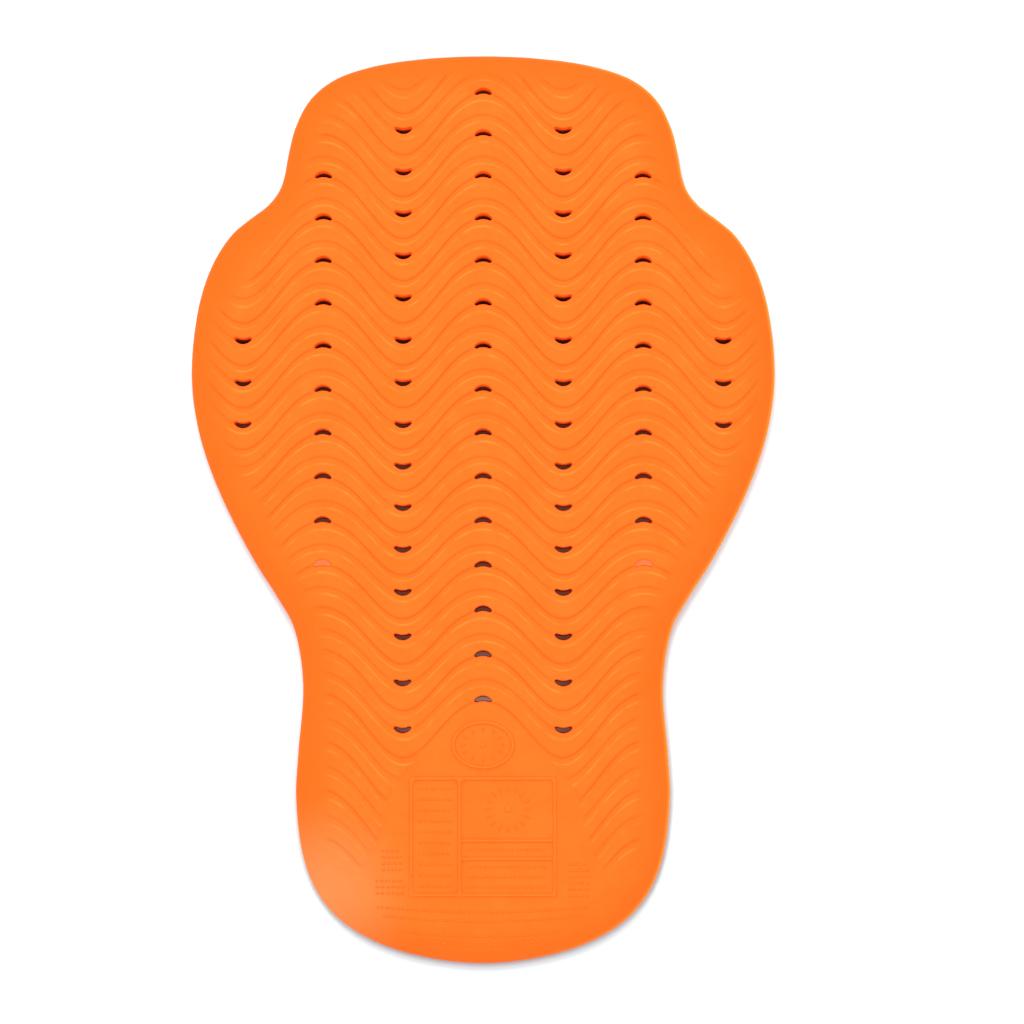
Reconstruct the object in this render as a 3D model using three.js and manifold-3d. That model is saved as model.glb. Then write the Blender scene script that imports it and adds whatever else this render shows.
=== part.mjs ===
// A back protector: one moulded foam pad that slides into the back pocket of a riding jacket.
// It lies on its plain back at Z = 0, with +Z out of the ribbed face, +Y towards the neck end and
// the origin under the middle of the pad. Lengths are in millimetres.
import * as THREE from "three";
import { mergeVertices } from "three/addons/utils/BufferGeometryUtils.js";
import Module from "manifold-3d";

const wasm = await Module();
wasm.setup();

// The whole pad
const PAD_LENGTH = 440;
const PAD_WIDTH = 283;

// Thickness: an upright rim with a rolled edge, a sloping margin, and a core that swells to the middle
const RIM_HEIGHT = 6.2;
const RIM_FOOT_ROUND = 0.8;
const EDGE_ROUND = 2.4;
const MARGIN_WIDTH = 8.4;
const CORE_HEIGHT = 9.5;
const CROWN_RISE = 2.8;

// Ribs: flat-topped waves that cross the pad, counted from the highest vent slot in the middle column.
// Main ribs carry the slots on their crests, and the shallower ribs between them in their troughs.
const WAVE_LENGTH = 77.6;
const MAIN_WAVE_DEPTH = 30.4;
const MAIN_WAIST_DEPTH = 25.7;
const MAIN_RIB_DROP = 0.9;
const BETWEEN_WAVE_DEPTH = 28.1;
const BETWEEN_WAIST_DEPTH = 23.2;
const BETWEEN_RIB_DROP = 1.4;
const CREST_BROADENING = 0.95;
const RIB_PITCH = 10.16;
const RIB_PITCH_GROWTH = 0.0135;
const WAIST_RIB_PITCH = 11.8;
const RIB_WIDTH = 5.2;
const RIB_HEIGHT = 0.6;
const SIDE_LIFT = 4.2;
const FIRST_SLOT_FROM_TOP = 17.6;

// Vent slots, cut through on the lower edges of the ribs
const SLOT_WIDTH = 8.7;
const SLOT_HEIGHT = 3.4;
const CREST_SLOT_ABOVE_EDGE = 0.8;
const TROUGH_SLOT_ABOVE_EDGE = 0.1;
const SLOT_TO_FIELD_EDGE = 7.5;
const SLOT_TO_LABEL_ZONE = 2;

// The bare framed panel and the round boss in the smooth zone at the waist end
const LABEL_ZONE_LENGTH = 123.6;
const PANEL_WIDTH = 70.6;
const PANEL_HEIGHT = 57.4;
const PANEL_TO_END = 32.1;
const PANEL_BAR = 1.4;
const PANEL_RELIEF = 0.6;
const PANEL_COLUMN = 24;
const PANEL_ROW = 30.5;
const PANEL_STRIP = 8.8;
const BOSS_TO_PANEL = 3.9;
const BOSS_HALF_WIDTH = 15.1;
const BOSS_HALF_HEIGHT = 11.6;
const BOSS_BAR = 1.4;

// How finely the round stretches are cut
const OUTLINE_STEPS = 52;
const FIELD_STEPS = 44;
const EDGE_STEPS = 3;
const MARGIN_STEPS = 2;
const WAVE_STEPS = 8;
const LABEL_ROOF_STEPS = 4;
const BOSS_SIDES = 20;
const OVERLAP = 1.5;

// Outline of the pad: down is a share of its length from the neck end, half a share of its half width.
const OUTLINE = [
  { down: 0.0, half: 0.0 },
  { down: 0.0028, half: 0.198 },
  { down: 0.0114, half: 0.377 },
  { down: 0.0265, half: 0.512 },
  { down: 0.0486, half: 0.595 },
  { down: 0.079, half: 0.645 },
  { down: 0.1123, half: 0.671 },
  { down: 0.1355, half: 0.684 },
  { down: 0.151, half: 0.702 },
  { down: 0.1665, half: 0.74 },
  { down: 0.182, half: 0.803 },
  { down: 0.1975, half: 0.86 },
  { down: 0.2285, half: 0.924 },
  { down: 0.275, half: 0.974 },
  { down: 0.3525, half: 1.0 },
  { down: 0.4145, half: 0.976 },
  { down: 0.4765, half: 0.912 },
  { down: 0.554, half: 0.792 },
  { down: 0.6005, half: 0.701 },
  { down: 0.6315, half: 0.648 },
  { down: 0.6934, half: 0.615 },
  { down: 0.771, half: 0.631 },
  { down: 0.8196, half: 0.638 },
  { down: 0.8859, half: 0.611 },
  { down: 0.9259, half: 0.558 },
  { down: 0.9576, half: 0.467 },
  { down: 0.9854, half: 0.293 },
  { down: 1.0, half: 0.0 },
];

// Where along the pad, as shares of its length, the waves are shallowest and how far that reaches,
// and where the outer crests start and end to lift
const SHALLOW_AT = 0.55;
const SHALLOW_REACH = 0.17;
const LIFT_STARTS = 0.5;
const LIFT_ENDS = 0.75;

// Edge of the ribbed field, in the same shares
const FIELD_EDGE = [
  { down: 0.018, half: 0.0 },
  { down: 0.021, half: 0.206 },
  { down: 0.031, half: 0.377 },
  { down: 0.045, half: 0.48 },
  { down: 0.066, half: 0.542 },
  { down: 0.095, half: 0.577 },
  { down: 0.119, half: 0.611 },
  { down: 0.152, half: 0.631 },
  { down: 0.1765, half: 0.669 },
  { down: 0.202, half: 0.728 },
  { down: 0.2274, half: 0.782 },
  { down: 0.2506, half: 0.81 },
  { down: 0.264, half: 0.872 },
  { down: 0.2816, half: 0.92 },
  { down: 0.318, half: 0.947 },
  { down: 0.3624, half: 0.951 },
  { down: 0.401, half: 0.93 },
  { down: 0.429, half: 0.892 },
  { down: 0.459, half: 0.844 },
  { down: 0.4986, half: 0.769 },
  { down: 0.564, half: 0.669 },
  { down: 0.609, half: 0.59 },
  { down: 0.65, half: 0.556 },
  { down: 0.711, half: 0.542 },
  { down: 0.811, half: 0.542 },
  { down: 0.872, half: 0.539 },
  { down: 0.895, half: 0.515 },
  { down: 0.904, half: 0.439 },
  { down: 0.906, half: 0.2 },
  { down: 0.906, half: 0.0 },
];

// Side of the smooth label zone: down is a share of the zone's length from its roof, which is the
// lower edge of the last whole rib out to a share of the wave length.
const LABEL_ROOF_SPAN = 0.39;
const LABEL_SIDE = [
  { down: 0.276, half: 0.2745 },
  { down: 0.335, half: 0.319 },
  { down: 0.426, half: 0.333 },
  { down: 0.517, half: 0.3535 },
  { down: 0.591, half: 0.381 },
  { down: 0.687, half: 0.45 },
];

// A crest slot: across is a share of its half width, up a share of its half height
const SLOT_OUTLINE = [
  { across: 0.0, up: -0.62 },
  { across: 0.8, up: -1.0 },
  { across: 1.0, up: -0.6 },
  { across: 0.64, up: 0.5 },
  { across: 0.0, up: 1.0 },
  { across: -0.64, up: 0.5 },
  { across: -1.0, up: -0.6 },
  { across: -0.8, up: -1.0 },
];

const neckY = PAD_LENGTH / 2;
const waistY = -PAD_LENGTH / 2;
const rootZ = RIM_HEIGHT / 2;
const topZ = CORE_HEIGHT + RIB_HEIGHT + PANEL_RELIEF + OVERLAP;

// The point of a table row, on the right-hand side of the pad, below a start and over a length
function placed(row, startY = neckY, length = PAD_LENGTH) {
  return new THREE.Vector3((row.half * PAD_WIDTH) / 2, startY - row.down * length, 0);
}

// A smooth closed curve through a table's points and their mirror images
function mirroredCurve(table) {
  const right = table.map((row) => placed(row));
  const left = right.slice(1, -1).reverse();
  const mirrored = left.map((p) => new THREE.Vector3(-p.x, p.y, 0));
  return new THREE.CatmullRomCurve3([...right, ...mirrored], true, "centripetal");
}

// Points round such a curve, clockwise from the neck, exactly alike on both sides
function roundCurve(table, stepsPerSide) {
  const curve = mirroredCurve(table);
  const right = [];
  for (let i = 0; i <= stepsPerSide; i += 1) right.push(curve.getPointAt((0.5 * i) / stepsPerSide));
  const left = right.slice(1, -1).reverse();
  return [...right, ...left.map((p) => new THREE.Vector3(-p.x, p.y, 0))];
}

// The same loop moved inwards by a distance
function insetLoop(loop, distance) {
  return loop.map((point, i) => {
    const before = loop[(i + loop.length - 1) % loop.length];
    const after = loop[(i + 1) % loop.length];
    const along = new THREE.Vector3().subVectors(after, before).normalize();
    return new THREE.Vector3(point.x + along.y * distance, point.y - along.x * distance, 0);
  });
}

// A three.js geometry as a solid that can be cut and joined
function solidOf(geometry) {
  const bare = geometry.clone();
  bare.deleteAttribute("normal");
  bare.deleteAttribute("uv");
  const merged = mergeVertices(bare, 1e-4);
  const vertProperties = new Float32Array(merged.attributes.position.array);
  const triVerts = new Uint32Array(merged.index.array);
  return new wasm.Manifold(new wasm.Mesh({ numProp: 3, vertProperties, triVerts }));
}

// An upright prism over a list of points, between two heights
function prism(points, lowZ, highZ) {
  const shape = new THREE.Shape(points.map((p) => new THREE.Vector2(p.x, p.y)));
  const geometry = new THREE.ExtrudeGeometry(shape, { depth: highZ - lowZ, bevelEnabled: false });
  return solidOf(geometry.translate(0, 0, lowZ));
}

// How far rib number i starts from the neck end. Rib 0 carries the highest middle slot.
function ribDown(i) {
  const even = FIRST_SLOT_FROM_TOP + RIB_PITCH * i + RIB_PITCH_GROWTH * i * i;
  const waist = PAD_LENGTH - LABEL_ZONE_LENGTH;
  const stretch = WAIST_RIB_PITCH / (RIB_PITCH + 2 * RIB_PITCH_GROWTH * i);
  return even <= waist ? even : waist + (even - waist) * stretch;
}

// How shallow the waves are at rib number i, from 0 to 1
function shallowness(i) {
  const share = ribDown(i) / PAD_LENGTH;
  return Math.exp(-(((share - SHALLOW_AT) / SHALLOW_REACH) ** 2));
}

// The lower edge of rib number i at x. A swell above 1 moves the corners of a facetted wave
// outwards, so that its facets touch the crests and troughs.
function ribLineY(i, x, swell = 1) {
  const { lerp, smoothstep } = THREE.MathUtils;
  const main = i % 2 === 0;
  const depth = main
    ? lerp(MAIN_WAVE_DEPTH, MAIN_WAIST_DEPTH, shallowness(i))
    : lerp(BETWEEN_WAVE_DEPTH, BETWEEN_WAIST_DEPTH, shallowness(i));
  const drop = main ? MAIN_RIB_DROP : BETWEEN_RIB_DROP;
  const lifted = smoothstep(ribDown(i) / PAD_LENGTH, LIFT_STARTS, LIFT_ENDS);
  const lift = SIDE_LIFT * lifted * (x / WAVE_LENGTH) ** 2;
  const turn = (2 * Math.PI * x) / WAVE_LENGTH;
  const wave = (depth / 2) * (1 - swell * Math.cos(turn));
  const broader = CREST_BROADENING * (1 - Math.cos(2 * turn));
  return neckY - ribDown(i) - drop - wave + broader + lift;
}

// The side of the pad from its foot to its core: upright rim, rolled edge, sloping margin
function sideProfile() {
  const profile = [
    { inset: RIM_FOOT_ROUND, z: 0 },
    { inset: 0, z: RIM_FOOT_ROUND },
  ];
  for (let i = 0; i <= EDGE_STEPS; i += 1) {
    const angle = (i / EDGE_STEPS) * (Math.PI / 2);
    const inset = EDGE_ROUND * (1 - Math.cos(angle));
    profile.push({ inset, z: RIM_HEIGHT + EDGE_ROUND * Math.sin(angle) });
  }
  const { inset, z } = profile[profile.length - 1];
  for (let i = 1; i <= MARGIN_STEPS; i += 1) {
    const share = i / MARGIN_STEPS;
    const climb = Math.sin((share * Math.PI) / 2);
    profile.push({
      inset: inset + (MARGIN_WIDTH - inset) * share,
      z: z + (CORE_HEIGHT - z) * climb,
    });
  }
  return profile;
}

// The pad without ribs
function body() {
  const outline = roundCurve(OUTLINE, OUTLINE_STEPS);
  const profile = sideProfile();
  const count = outline.length;
  const positions = [];
  for (const { inset, z } of profile) {
    for (const p of insetLoop(outline, inset)) positions.push(p.x, p.y, z);
  }
  const index = [];
  for (let ring = 0; ring + 1 < profile.length; ring += 1) {
    for (let i = 0; i < count; i += 1) {
      const next = (i + 1) % count;
      const a = ring * count + i;
      const b = ring * count + next;
      index.push(a, a + count, b, b, a + count, b + count);
    }
  }
  const caps = [
    { ring: 0, up: false },
    { ring: profile.length - 1, up: true },
  ];
  for (const { ring, up } of caps) {
    const start = ring * count;
    const flat = insetLoop(outline, profile[ring].inset).map((p) => new THREE.Vector2(p.x, p.y));
    for (const [a, b, c] of THREE.ShapeUtils.triangulateShape(flat, [])) {
      const area = (flat[b].x - flat[a].x) * (flat[c].y - flat[a].y)
        - (flat[b].y - flat[a].y) * (flat[c].x - flat[a].x);
      const facesUp = area > 0;
      index.push(start + a, start + (facesUp === up ? b : c), start + (facesUp === up ? c : b));
    }
  }
  const geometry = new THREE.BufferGeometry();
  geometry.setAttribute("position", new THREE.Float32BufferAttribute(positions, 3));
  geometry.setIndex(index);
  return solidOf(geometry);
}

// Where the label zone lies: a roof that follows the wave, sloping sides and an open foot
function labelZone() {
  const right = [];
  const apexY = waistY + LABEL_ZONE_LENGTH;
  const turns = LABEL_ROOF_SPAN * 2 * Math.PI;
  for (let i = 0; i <= LABEL_ROOF_STEPS; i += 1) {
    const share = i / LABEL_ROOF_STEPS;
    const drop = (MAIN_WAIST_DEPTH / 2) * (1 - Math.cos(turns * share));
    right.push(new THREE.Vector3(LABEL_ROOF_SPAN * WAVE_LENGTH * share, apexY - drop, 0));
  }
  right.push(...LABEL_SIDE.map((row) => placed(row, apexY, LABEL_ZONE_LENGTH)));
  const left = right.slice(1).reverse();
  return [...right, ...left.map((p) => new THREE.Vector3(-p.x, p.y, 0))];
}

// Distance from a point to a closed loop, negative where the point is outside it
function depthInside(loop, x, y) {
  let nearest = Infinity;
  let inside = false;
  for (let i = 0; i < loop.length; i += 1) {
    const a = loop[i];
    const b = loop[(i + 1) % loop.length];
    const along = new THREE.Vector2(b.x - a.x, b.y - a.y);
    const from = new THREE.Vector2(x - a.x, y - a.y);
    const share = THREE.MathUtils.clamp(from.dot(along) / along.lengthSq(), 0, 1);
    nearest = Math.min(nearest, from.addScaledVector(along, -share).length());
    if (a.y > y !== b.y > y && x < a.x + ((y - a.y) / (b.y - a.y)) * (b.x - a.x)) inside = !inside;
  }
  return inside ? nearest : -nearest;
}

// The numbers of the first and last rib line that can cross the pad
function ribRange() {
  const first = -Math.ceil((FIRST_SLOT_FROM_TOP + MAIN_WAVE_DEPTH) / RIB_PITCH);
  let last = 0;
  while (ribDown(last) < PAD_LENGTH) last += 1;
  return { first, last };
}

// All ribs, trimmed to the ribbed field and kept off the label zone
function ribs(field, zone) {
  const high = CORE_HEIGHT + RIB_HEIGHT;
  const step = WAVE_LENGTH / WAVE_STEPS;
  const columns = Math.ceil(PAD_WIDTH / 2 / step) + 1;
  const swell = 1 / Math.cos(Math.PI / WAVE_STEPS);
  const { first, last } = ribRange();
  let joined = null;
  for (let i = first; i <= last; i += 1) {
    const lower = [];
    const upper = [];
    for (let column = -columns; column < columns; column += 1) {
      const x = (column + 0.5) * step;
      const y = ribLineY(i, x, swell);
      lower.push({ x, y });
      upper.unshift({ x, y: y + RIB_WIDTH });
    }
    const rib = prism([...lower, ...upper], rootZ, high);
    joined = joined ? joined.add(rib) : rib;
  }
  const trimmed = joined.intersect(prism(field, 0, topZ));
  return trimmed.subtract(prism(zone, 0, topZ));
}

// Centres of the vent slots: crests on even ribs, troughs on odd ribs, wherever the field has room
function slotPlaces(field, zone) {
  const places = [];
  const halfWaves = Math.ceil(PAD_WIDTH / WAVE_LENGTH);
  const { first, last } = ribRange();
  for (let column = -halfWaves; column <= halfWaves; column += 1) {
    const crest = column % 2 === 0;
    const x = (column * WAVE_LENGTH) / 2;
    for (let i = first; i <= last; i += 1) {
      const onThisRib = crest === (i % 2 === 0);
      const y = ribLineY(i, x);
      const roomy = depthInside(field, x, y) > SLOT_TO_FIELD_EDGE;
      const offLabel = depthInside(zone, x, y) < -SLOT_TO_LABEL_ZONE;
      const rise = crest ? CREST_SLOT_ABOVE_EDGE : TROUGH_SLOT_ABOVE_EDGE;
      if (onThisRib && roomy && offLabel) places.push({ x, y: y + rise, crest });
    }
  }
  return places;
}

// The cutter of one vent slot, arched upwards on a crest and downwards in a trough
function slotCutter({ x, y, crest }) {
  const points = SLOT_OUTLINE.map(({ across, up }) => {
    const dx = (across * SLOT_WIDTH) / 2;
    const dy = (up * SLOT_HEIGHT) / 2;
    return { x: x + dx, y: crest ? y + dy : y - dy };
  });
  return prism(points, -OVERLAP, topZ);
}

// A flat bar of the panel frame, raised above the core
function bar(x, y, width, height) {
  const corners = [
    { x: x - width / 2, y: y - height / 2 },
    { x: x + width / 2, y: y - height / 2 },
    { x: x + width / 2, y: y + height / 2 },
    { x: x - width / 2, y: y + height / 2 },
  ];
  return prism(corners, rootZ, CORE_HEIGHT + PANEL_RELIEF);
}

// The bare panel: a raised frame with one upright bar, and a strip between two cross bars beside it
function panelFrame() {
  const middleY = waistY + PANEL_TO_END + PANEL_HEIGHT / 2;
  const outer = bar(0, middleY, PANEL_WIDTH, PANEL_HEIGHT);
  const columnX = -PANEL_WIDTH / 2 + PANEL_COLUMN;
  const rowY = middleY + PANEL_HEIGHT / 2 - PANEL_ROW;
  const stripY = rowY - PANEL_STRIP;
  const left = [-PANEL_WIDTH / 2 + PANEL_BAR, columnX - PANEL_BAR / 2];
  const right = [columnX + PANEL_BAR / 2, PANEL_WIDTH / 2 - PANEL_BAR];
  const bottom = middleY - PANEL_HEIGHT / 2 + PANEL_BAR;
  const top = middleY + PANEL_HEIGHT / 2 - PANEL_BAR;
  const cells = [
    { x: left, y: [bottom, top] },
    { x: right, y: [bottom, stripY - PANEL_BAR / 2] },
    { x: right, y: [stripY + PANEL_BAR / 2, rowY - PANEL_BAR / 2] },
    { x: right, y: [rowY + PANEL_BAR / 2, top] },
  ];
  return cells.reduce((frame, { x, y }) => {
    const corners = [
      { x: x[0], y: y[0] },
      { x: x[1], y: y[0] },
      { x: x[1], y: y[1] },
      { x: x[0], y: y[1] },
    ];
    return frame.subtract(prism(corners, 0, topZ));
  }, outer);
}

// A raised oval ring above the panel
function bossRing() {
  const y = waistY + PANEL_TO_END + PANEL_HEIGHT + BOSS_TO_PANEL + BOSS_HALF_HEIGHT;
  const oval = (inset) => {
    const points = [];
    for (let i = 0; i < BOSS_SIDES; i += 1) {
      const angle = (2 * Math.PI * i) / BOSS_SIDES;
      const across = (BOSS_HALF_WIDTH - inset) * Math.cos(angle);
      const up = (BOSS_HALF_HEIGHT - inset) * Math.sin(angle);
      points.push({ x: across, y: y + up });
    }
    return points;
  };
  const disc = prism(oval(0), rootZ, CORE_HEIGHT + PANEL_RELIEF);
  return disc.subtract(prism(oval(BOSS_BAR), 0, topZ));
}

// Raises every point towards the middle of the pad, the more the higher it lies
function crowned(mesh) {
  const positions = new Float32Array((mesh.vertProperties.length / mesh.numProp) * 3);
  for (let i = 0; i * 3 < positions.length; i += 1) {
    const [x, y, z] = mesh.vertProperties.slice(i * mesh.numProp, i * mesh.numProp + 3);
    const across = 1 - (x / (PAD_WIDTH / 2)) ** 2;
    const along = 1 - (y / (PAD_LENGTH / 2)) ** 2;
    const rise = CROWN_RISE * Math.max(0, across) * Math.max(0, along);
    positions.set([x, y, z + rise * (z / CORE_HEIGHT)], i * 3);
  }
  const geometry = new THREE.BufferGeometry();
  geometry.setAttribute("position", new THREE.BufferAttribute(positions, 3));
  geometry.setIndex(new THREE.BufferAttribute(new Uint32Array(mesh.triVerts), 1));
  geometry.computeVertexNormals();
  return geometry;
}

// The whole moulded pad as one solid
function padGeometry() {
  const field = roundCurve(FIELD_EDGE, FIELD_STEPS);
  const zone = labelZone();
  let solid = body().add(ribs(field, zone)).add(panelFrame()).add(bossRing());
  const cutters = slotPlaces(field, zone).map(slotCutter);
  for (const cutter of cutters) solid = solid.subtract(cutter);
  return crowned(solid.getMesh());
}

const foam = new THREE.MeshStandardMaterial({ color: "#fd842e", roughness: 0.55, metalness: 0 });
const pad = new THREE.Mesh(padGeometry(), foam);
pad.name = "foam_pad";

const protector = new THREE.Group();
protector.name = "back_protector";
protector.add(pad);

export default protector;
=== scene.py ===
"""Looks of a moulded foam back protector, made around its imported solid.

The pad lies on its plain back, with +Z out of the ribbed face and +Y towards the neck end. Layout is
worked out in millimetres, and a mesh is turned into metres as its last step.
"""
import logging
import math
from dataclasses import dataclass, field
from enum import Enum
from functools import partial

import bmesh
import bpy
import numpy as np
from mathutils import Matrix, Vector
from mathutils.geometry import delaunay_2d_cdt


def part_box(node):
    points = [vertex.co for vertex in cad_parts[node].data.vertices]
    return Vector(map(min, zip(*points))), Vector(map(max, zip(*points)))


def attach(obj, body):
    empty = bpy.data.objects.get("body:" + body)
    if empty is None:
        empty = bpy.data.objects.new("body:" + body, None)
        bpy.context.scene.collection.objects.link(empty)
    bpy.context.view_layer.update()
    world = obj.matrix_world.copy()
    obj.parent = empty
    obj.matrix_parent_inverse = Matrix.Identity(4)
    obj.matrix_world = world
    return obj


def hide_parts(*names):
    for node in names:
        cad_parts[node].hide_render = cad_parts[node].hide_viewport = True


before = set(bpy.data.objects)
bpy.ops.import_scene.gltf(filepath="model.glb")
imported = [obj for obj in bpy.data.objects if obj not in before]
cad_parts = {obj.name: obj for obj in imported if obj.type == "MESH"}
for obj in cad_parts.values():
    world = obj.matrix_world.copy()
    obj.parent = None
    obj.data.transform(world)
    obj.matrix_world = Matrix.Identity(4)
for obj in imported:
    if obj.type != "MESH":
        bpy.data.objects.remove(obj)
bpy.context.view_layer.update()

MM = 0.001
PAD_NODE = "foam_pad"
BODY = "root"

# Outline of the pad: share of its length from the neck end, and share of its half width
OUTLINE = (
    (0.0, 0.0), (0.0028, 0.198), (0.0114, 0.377), (0.0265, 0.512), (0.0486, 0.595),
    (0.079, 0.645), (0.1123, 0.671), (0.1355, 0.684), (0.151, 0.702), (0.1665, 0.74),
    (0.182, 0.803), (0.1975, 0.86), (0.2285, 0.924), (0.275, 0.974), (0.3525, 1.0),
    (0.4145, 0.976), (0.4765, 0.912), (0.554, 0.792), (0.6005, 0.701), (0.6315, 0.648),
    (0.6934, 0.615), (0.771, 0.631), (0.8196, 0.638), (0.8859, 0.611), (0.9259, 0.558),
    (0.9576, 0.467), (0.9854, 0.293), (1.0, 0.0),
)

# Edge of the ribbed field, in the same shares
FIELD_EDGE = (
    (0.018, 0.0), (0.021, 0.206), (0.031, 0.377), (0.045, 0.48), (0.066, 0.542),
    (0.095, 0.577), (0.119, 0.611), (0.152, 0.631), (0.1765, 0.669), (0.202, 0.728),
    (0.2274, 0.782), (0.2506, 0.81), (0.264, 0.872), (0.2816, 0.92), (0.318, 0.947),
    (0.3624, 0.951), (0.401, 0.93), (0.429, 0.892), (0.459, 0.844), (0.4986, 0.769),
    (0.564, 0.669), (0.609, 0.59), (0.65, 0.556), (0.711, 0.542), (0.811, 0.542),
    (0.872, 0.539), (0.895, 0.515), (0.904, 0.439), (0.906, 0.2), (0.906, 0.0),
)

# Side of the smooth label zone: share of the zone's length from its roof, and share of the half width
LABEL_SIDE = (
    (0.276, 0.2745), (0.335, 0.319), (0.426, 0.333), (0.517, 0.3535), (0.591, 0.381), (0.687, 0.45),
)

# A crest slot: share of its half width, and share of its half height
SLOT_OUTLINE = (
    (0.0, -0.62), (-0.4, -0.74), (-0.8, -1.0), (-1.0, -0.6), (-0.64, 0.5), (0.0, 1.0),
    (0.64, 0.5), (1.0, -0.6), (0.8, -1.0), (0.4, -0.74),
)

# Section of a rib: share of the pitch below the line above it, and share of the rib's height
RIB_SECTION = (
    (0.0, 0.42), (0.02, 0.16), (0.045, 0.03), (0.09, 0.0), (0.3, 0.06), (0.345, 0.18), (0.375, 0.5),
    (0.405, 0.86), (0.44, 0.98), (0.5, 1.0), (0.88, 1.0), (0.94, 0.97), (0.965, 0.88), (0.985, 0.68),
    (1.0, 0.42),
)

# Tone across a rib: share of the pitch below the line above it, and 0 for painted shade in a crease to 1
# for a painted highlight along an edge
RIB_TONE = (
    (0.0, 0.0), (0.07, 0.15), (0.15, 0.5), (0.25, 0.5), (0.3, 0.72), (0.345, 1.0), (0.39, 0.72),
    (0.44, 0.5), (0.86, 0.5), (0.94, 0.2), (1.0, 0.0),
)

# The same painted shade and highlight, beside a moulded bar: share of BAR_TONE_REACH from the bar's
# middle, and the tone
BAR_TONE = ((0.0, 0.9), (0.14, 0.8), (0.28, 0.5), (0.42, 0.0), (0.55, 0.1), (0.8, 0.5), (1.0, 0.5))
BAR_TONE_REACH = 2.0

# Painted glow for light that comes through the foam into a slot: share of the wall's depth, and the strength
PAINTED_WALL_GLOW = ((0.0, 0.0), (0.1, 0.1), (0.3, 0.24), (0.48, 0.18), (0.68, 0.06), (1.0, 0.0))

# A dial of ticks: their distance from its middle across and up, their number, half length and half width
RING_DIAL = (9.8, 7.2, 12, 1.3, 0.42)
PANEL_DIAL = (9.6, 9.6, 16, 1.8, 0.45)

# Dashes that fill a part of the panel: inset from its left and right, height of the first row, gap between
# rows, number of rows, and half the width of a dash
COLUMN_ROWS = (4.0, 3.5, 5.0, 5.2, 10, 0.45)
STRIP_ROWS = (3.0, 4.0, 0.0, 0.0, 1, 0.6)
FOOT_ROWS = (4.0, 5.0, 4.6, 4.8, 3, 0.5)

# A block of dashes beside the panel: x of its middle, height over the panel's foot, width and rows
SIDE_BLOCKS = ((-44.0, 17.4, 10.0, 4), (-44.8, 4.6, 14.0, 3), (46.3, 8.0, 11.0, 6))

# A hanging row of dashes under the panel: how far under its foot, and half the row's width
HANGING_ROWS = ((4.9, 51.0), (9.2, 48.0), (16.5, 40.0), (20.6, 32.0))


class Arch(Enum):
    """Which way a vent slot's arch points, as half turns."""

    CREST = 0.0
    TROUGH = 1.0


def linear(code: str) -> tuple[float, float, float, float]:
    """Turns an sRGB colour into linear light.

    Args:
        code: The colour as six hex digits after a hash.

    Returns:
        Red, green and blue in linear light, and an alpha of 1.
    """
    parts = [int(code[i:i + 2], 16) / 255 for i in (1, 3, 5)]
    light = [c / 12.92 if c <= 0.04045 else ((c + 0.055) / 1.055) ** 2.4 for c in parts]
    return (*light, 1.0)


def add_node(tree: bpy.types.NodeTree, kind: str, inputs: dict | tuple = (), **settings) -> bpy.types.Node:
    """Adds a node with its settings, values and links.

    Args:
        tree: The tree that gets the node.
        kind: The node's type.
        inputs: A value, a socket or a node for each input, by its name or number or in their order.
        **settings: The node's own properties.

    Returns:
        The new node.
    """
    node = tree.nodes.new(kind)
    for name, value in settings.items():
        setattr(node, name, value)
    given = inputs if isinstance(inputs, dict) else dict(enumerate(inputs))
    for key, value in given.items():
        if isinstance(value, bpy.types.Node):
            value = value.outputs[0]
        if isinstance(value, bpy.types.NodeSocket):
            tree.links.new(value, node.inputs[key])
        else:
            node.inputs[key].default_value = value
    return node


def shape_curve(node: bpy.types.Node, table: tuple) -> bpy.types.Node:
    """Runs the curve of a float curve node through a table of points.

    Args:
        node: The node.
        table: Rows of a value from 0 to 1 and what it becomes.

    Returns:
        The same node.
    """
    curve = node.mapping.curves[0]
    for place, height in table[1:-1]:
        curve.points.new(place, height)
    curve.points[0].location = table[0]
    curve.points[-1].location = table[-1]
    node.mapping.update()
    return node


def new_material(name: str) -> tuple[bpy.types.Material, bpy.types.NodeTree]:
    """Makes a material with no nodes yet, and gives it with its tree."""
    material = bpy.data.materials.new(name)
    material.use_nodes = True
    material.node_tree.nodes.clear()
    return material, material.node_tree


def new_geometry_tree(name: str, sizes: dict[str, str]) -> tuple[bpy.types.NodeTree, bpy.types.Node]:
    """Makes an empty Geometry Nodes tree with named inputs.

    Args:
        name: The tree's name.
        sizes: The socket type of each input, by its name.

    Returns:
        The tree and its group input node.
    """
    tree = bpy.data.node_groups.new(name, "GeometryNodeTree")
    tree.interface.new_socket("Geometry", in_out="INPUT", socket_type="NodeSocketGeometry")
    for label, kind in sizes.items():
        tree.interface.new_socket(label, in_out="INPUT", socket_type=kind)
    tree.interface.new_socket("Geometry", in_out="OUTPUT", socket_type="NodeSocketGeometry")
    return tree, add_node(tree, "NodeGroupInput")


def finish_geometry_tree(
        tree: bpy.types.NodeTree, geometry: bpy.types.Node, material: bpy.types.NodeSocket) -> None:
    """Ends a tree in Realize Instances and Set Material.

    Args:
        tree: The tree to end.
        geometry: The node whose geometry is the result.
        material: The group input that holds the material.
    """
    real = add_node(tree, "GeometryNodeRealizeInstances", {"Geometry": geometry})
    dressed = add_node(tree, "GeometryNodeSetMaterial", {"Geometry": real, "Material": material})
    add_node(tree, "NodeGroupOutput", {"Geometry": dressed})


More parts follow.
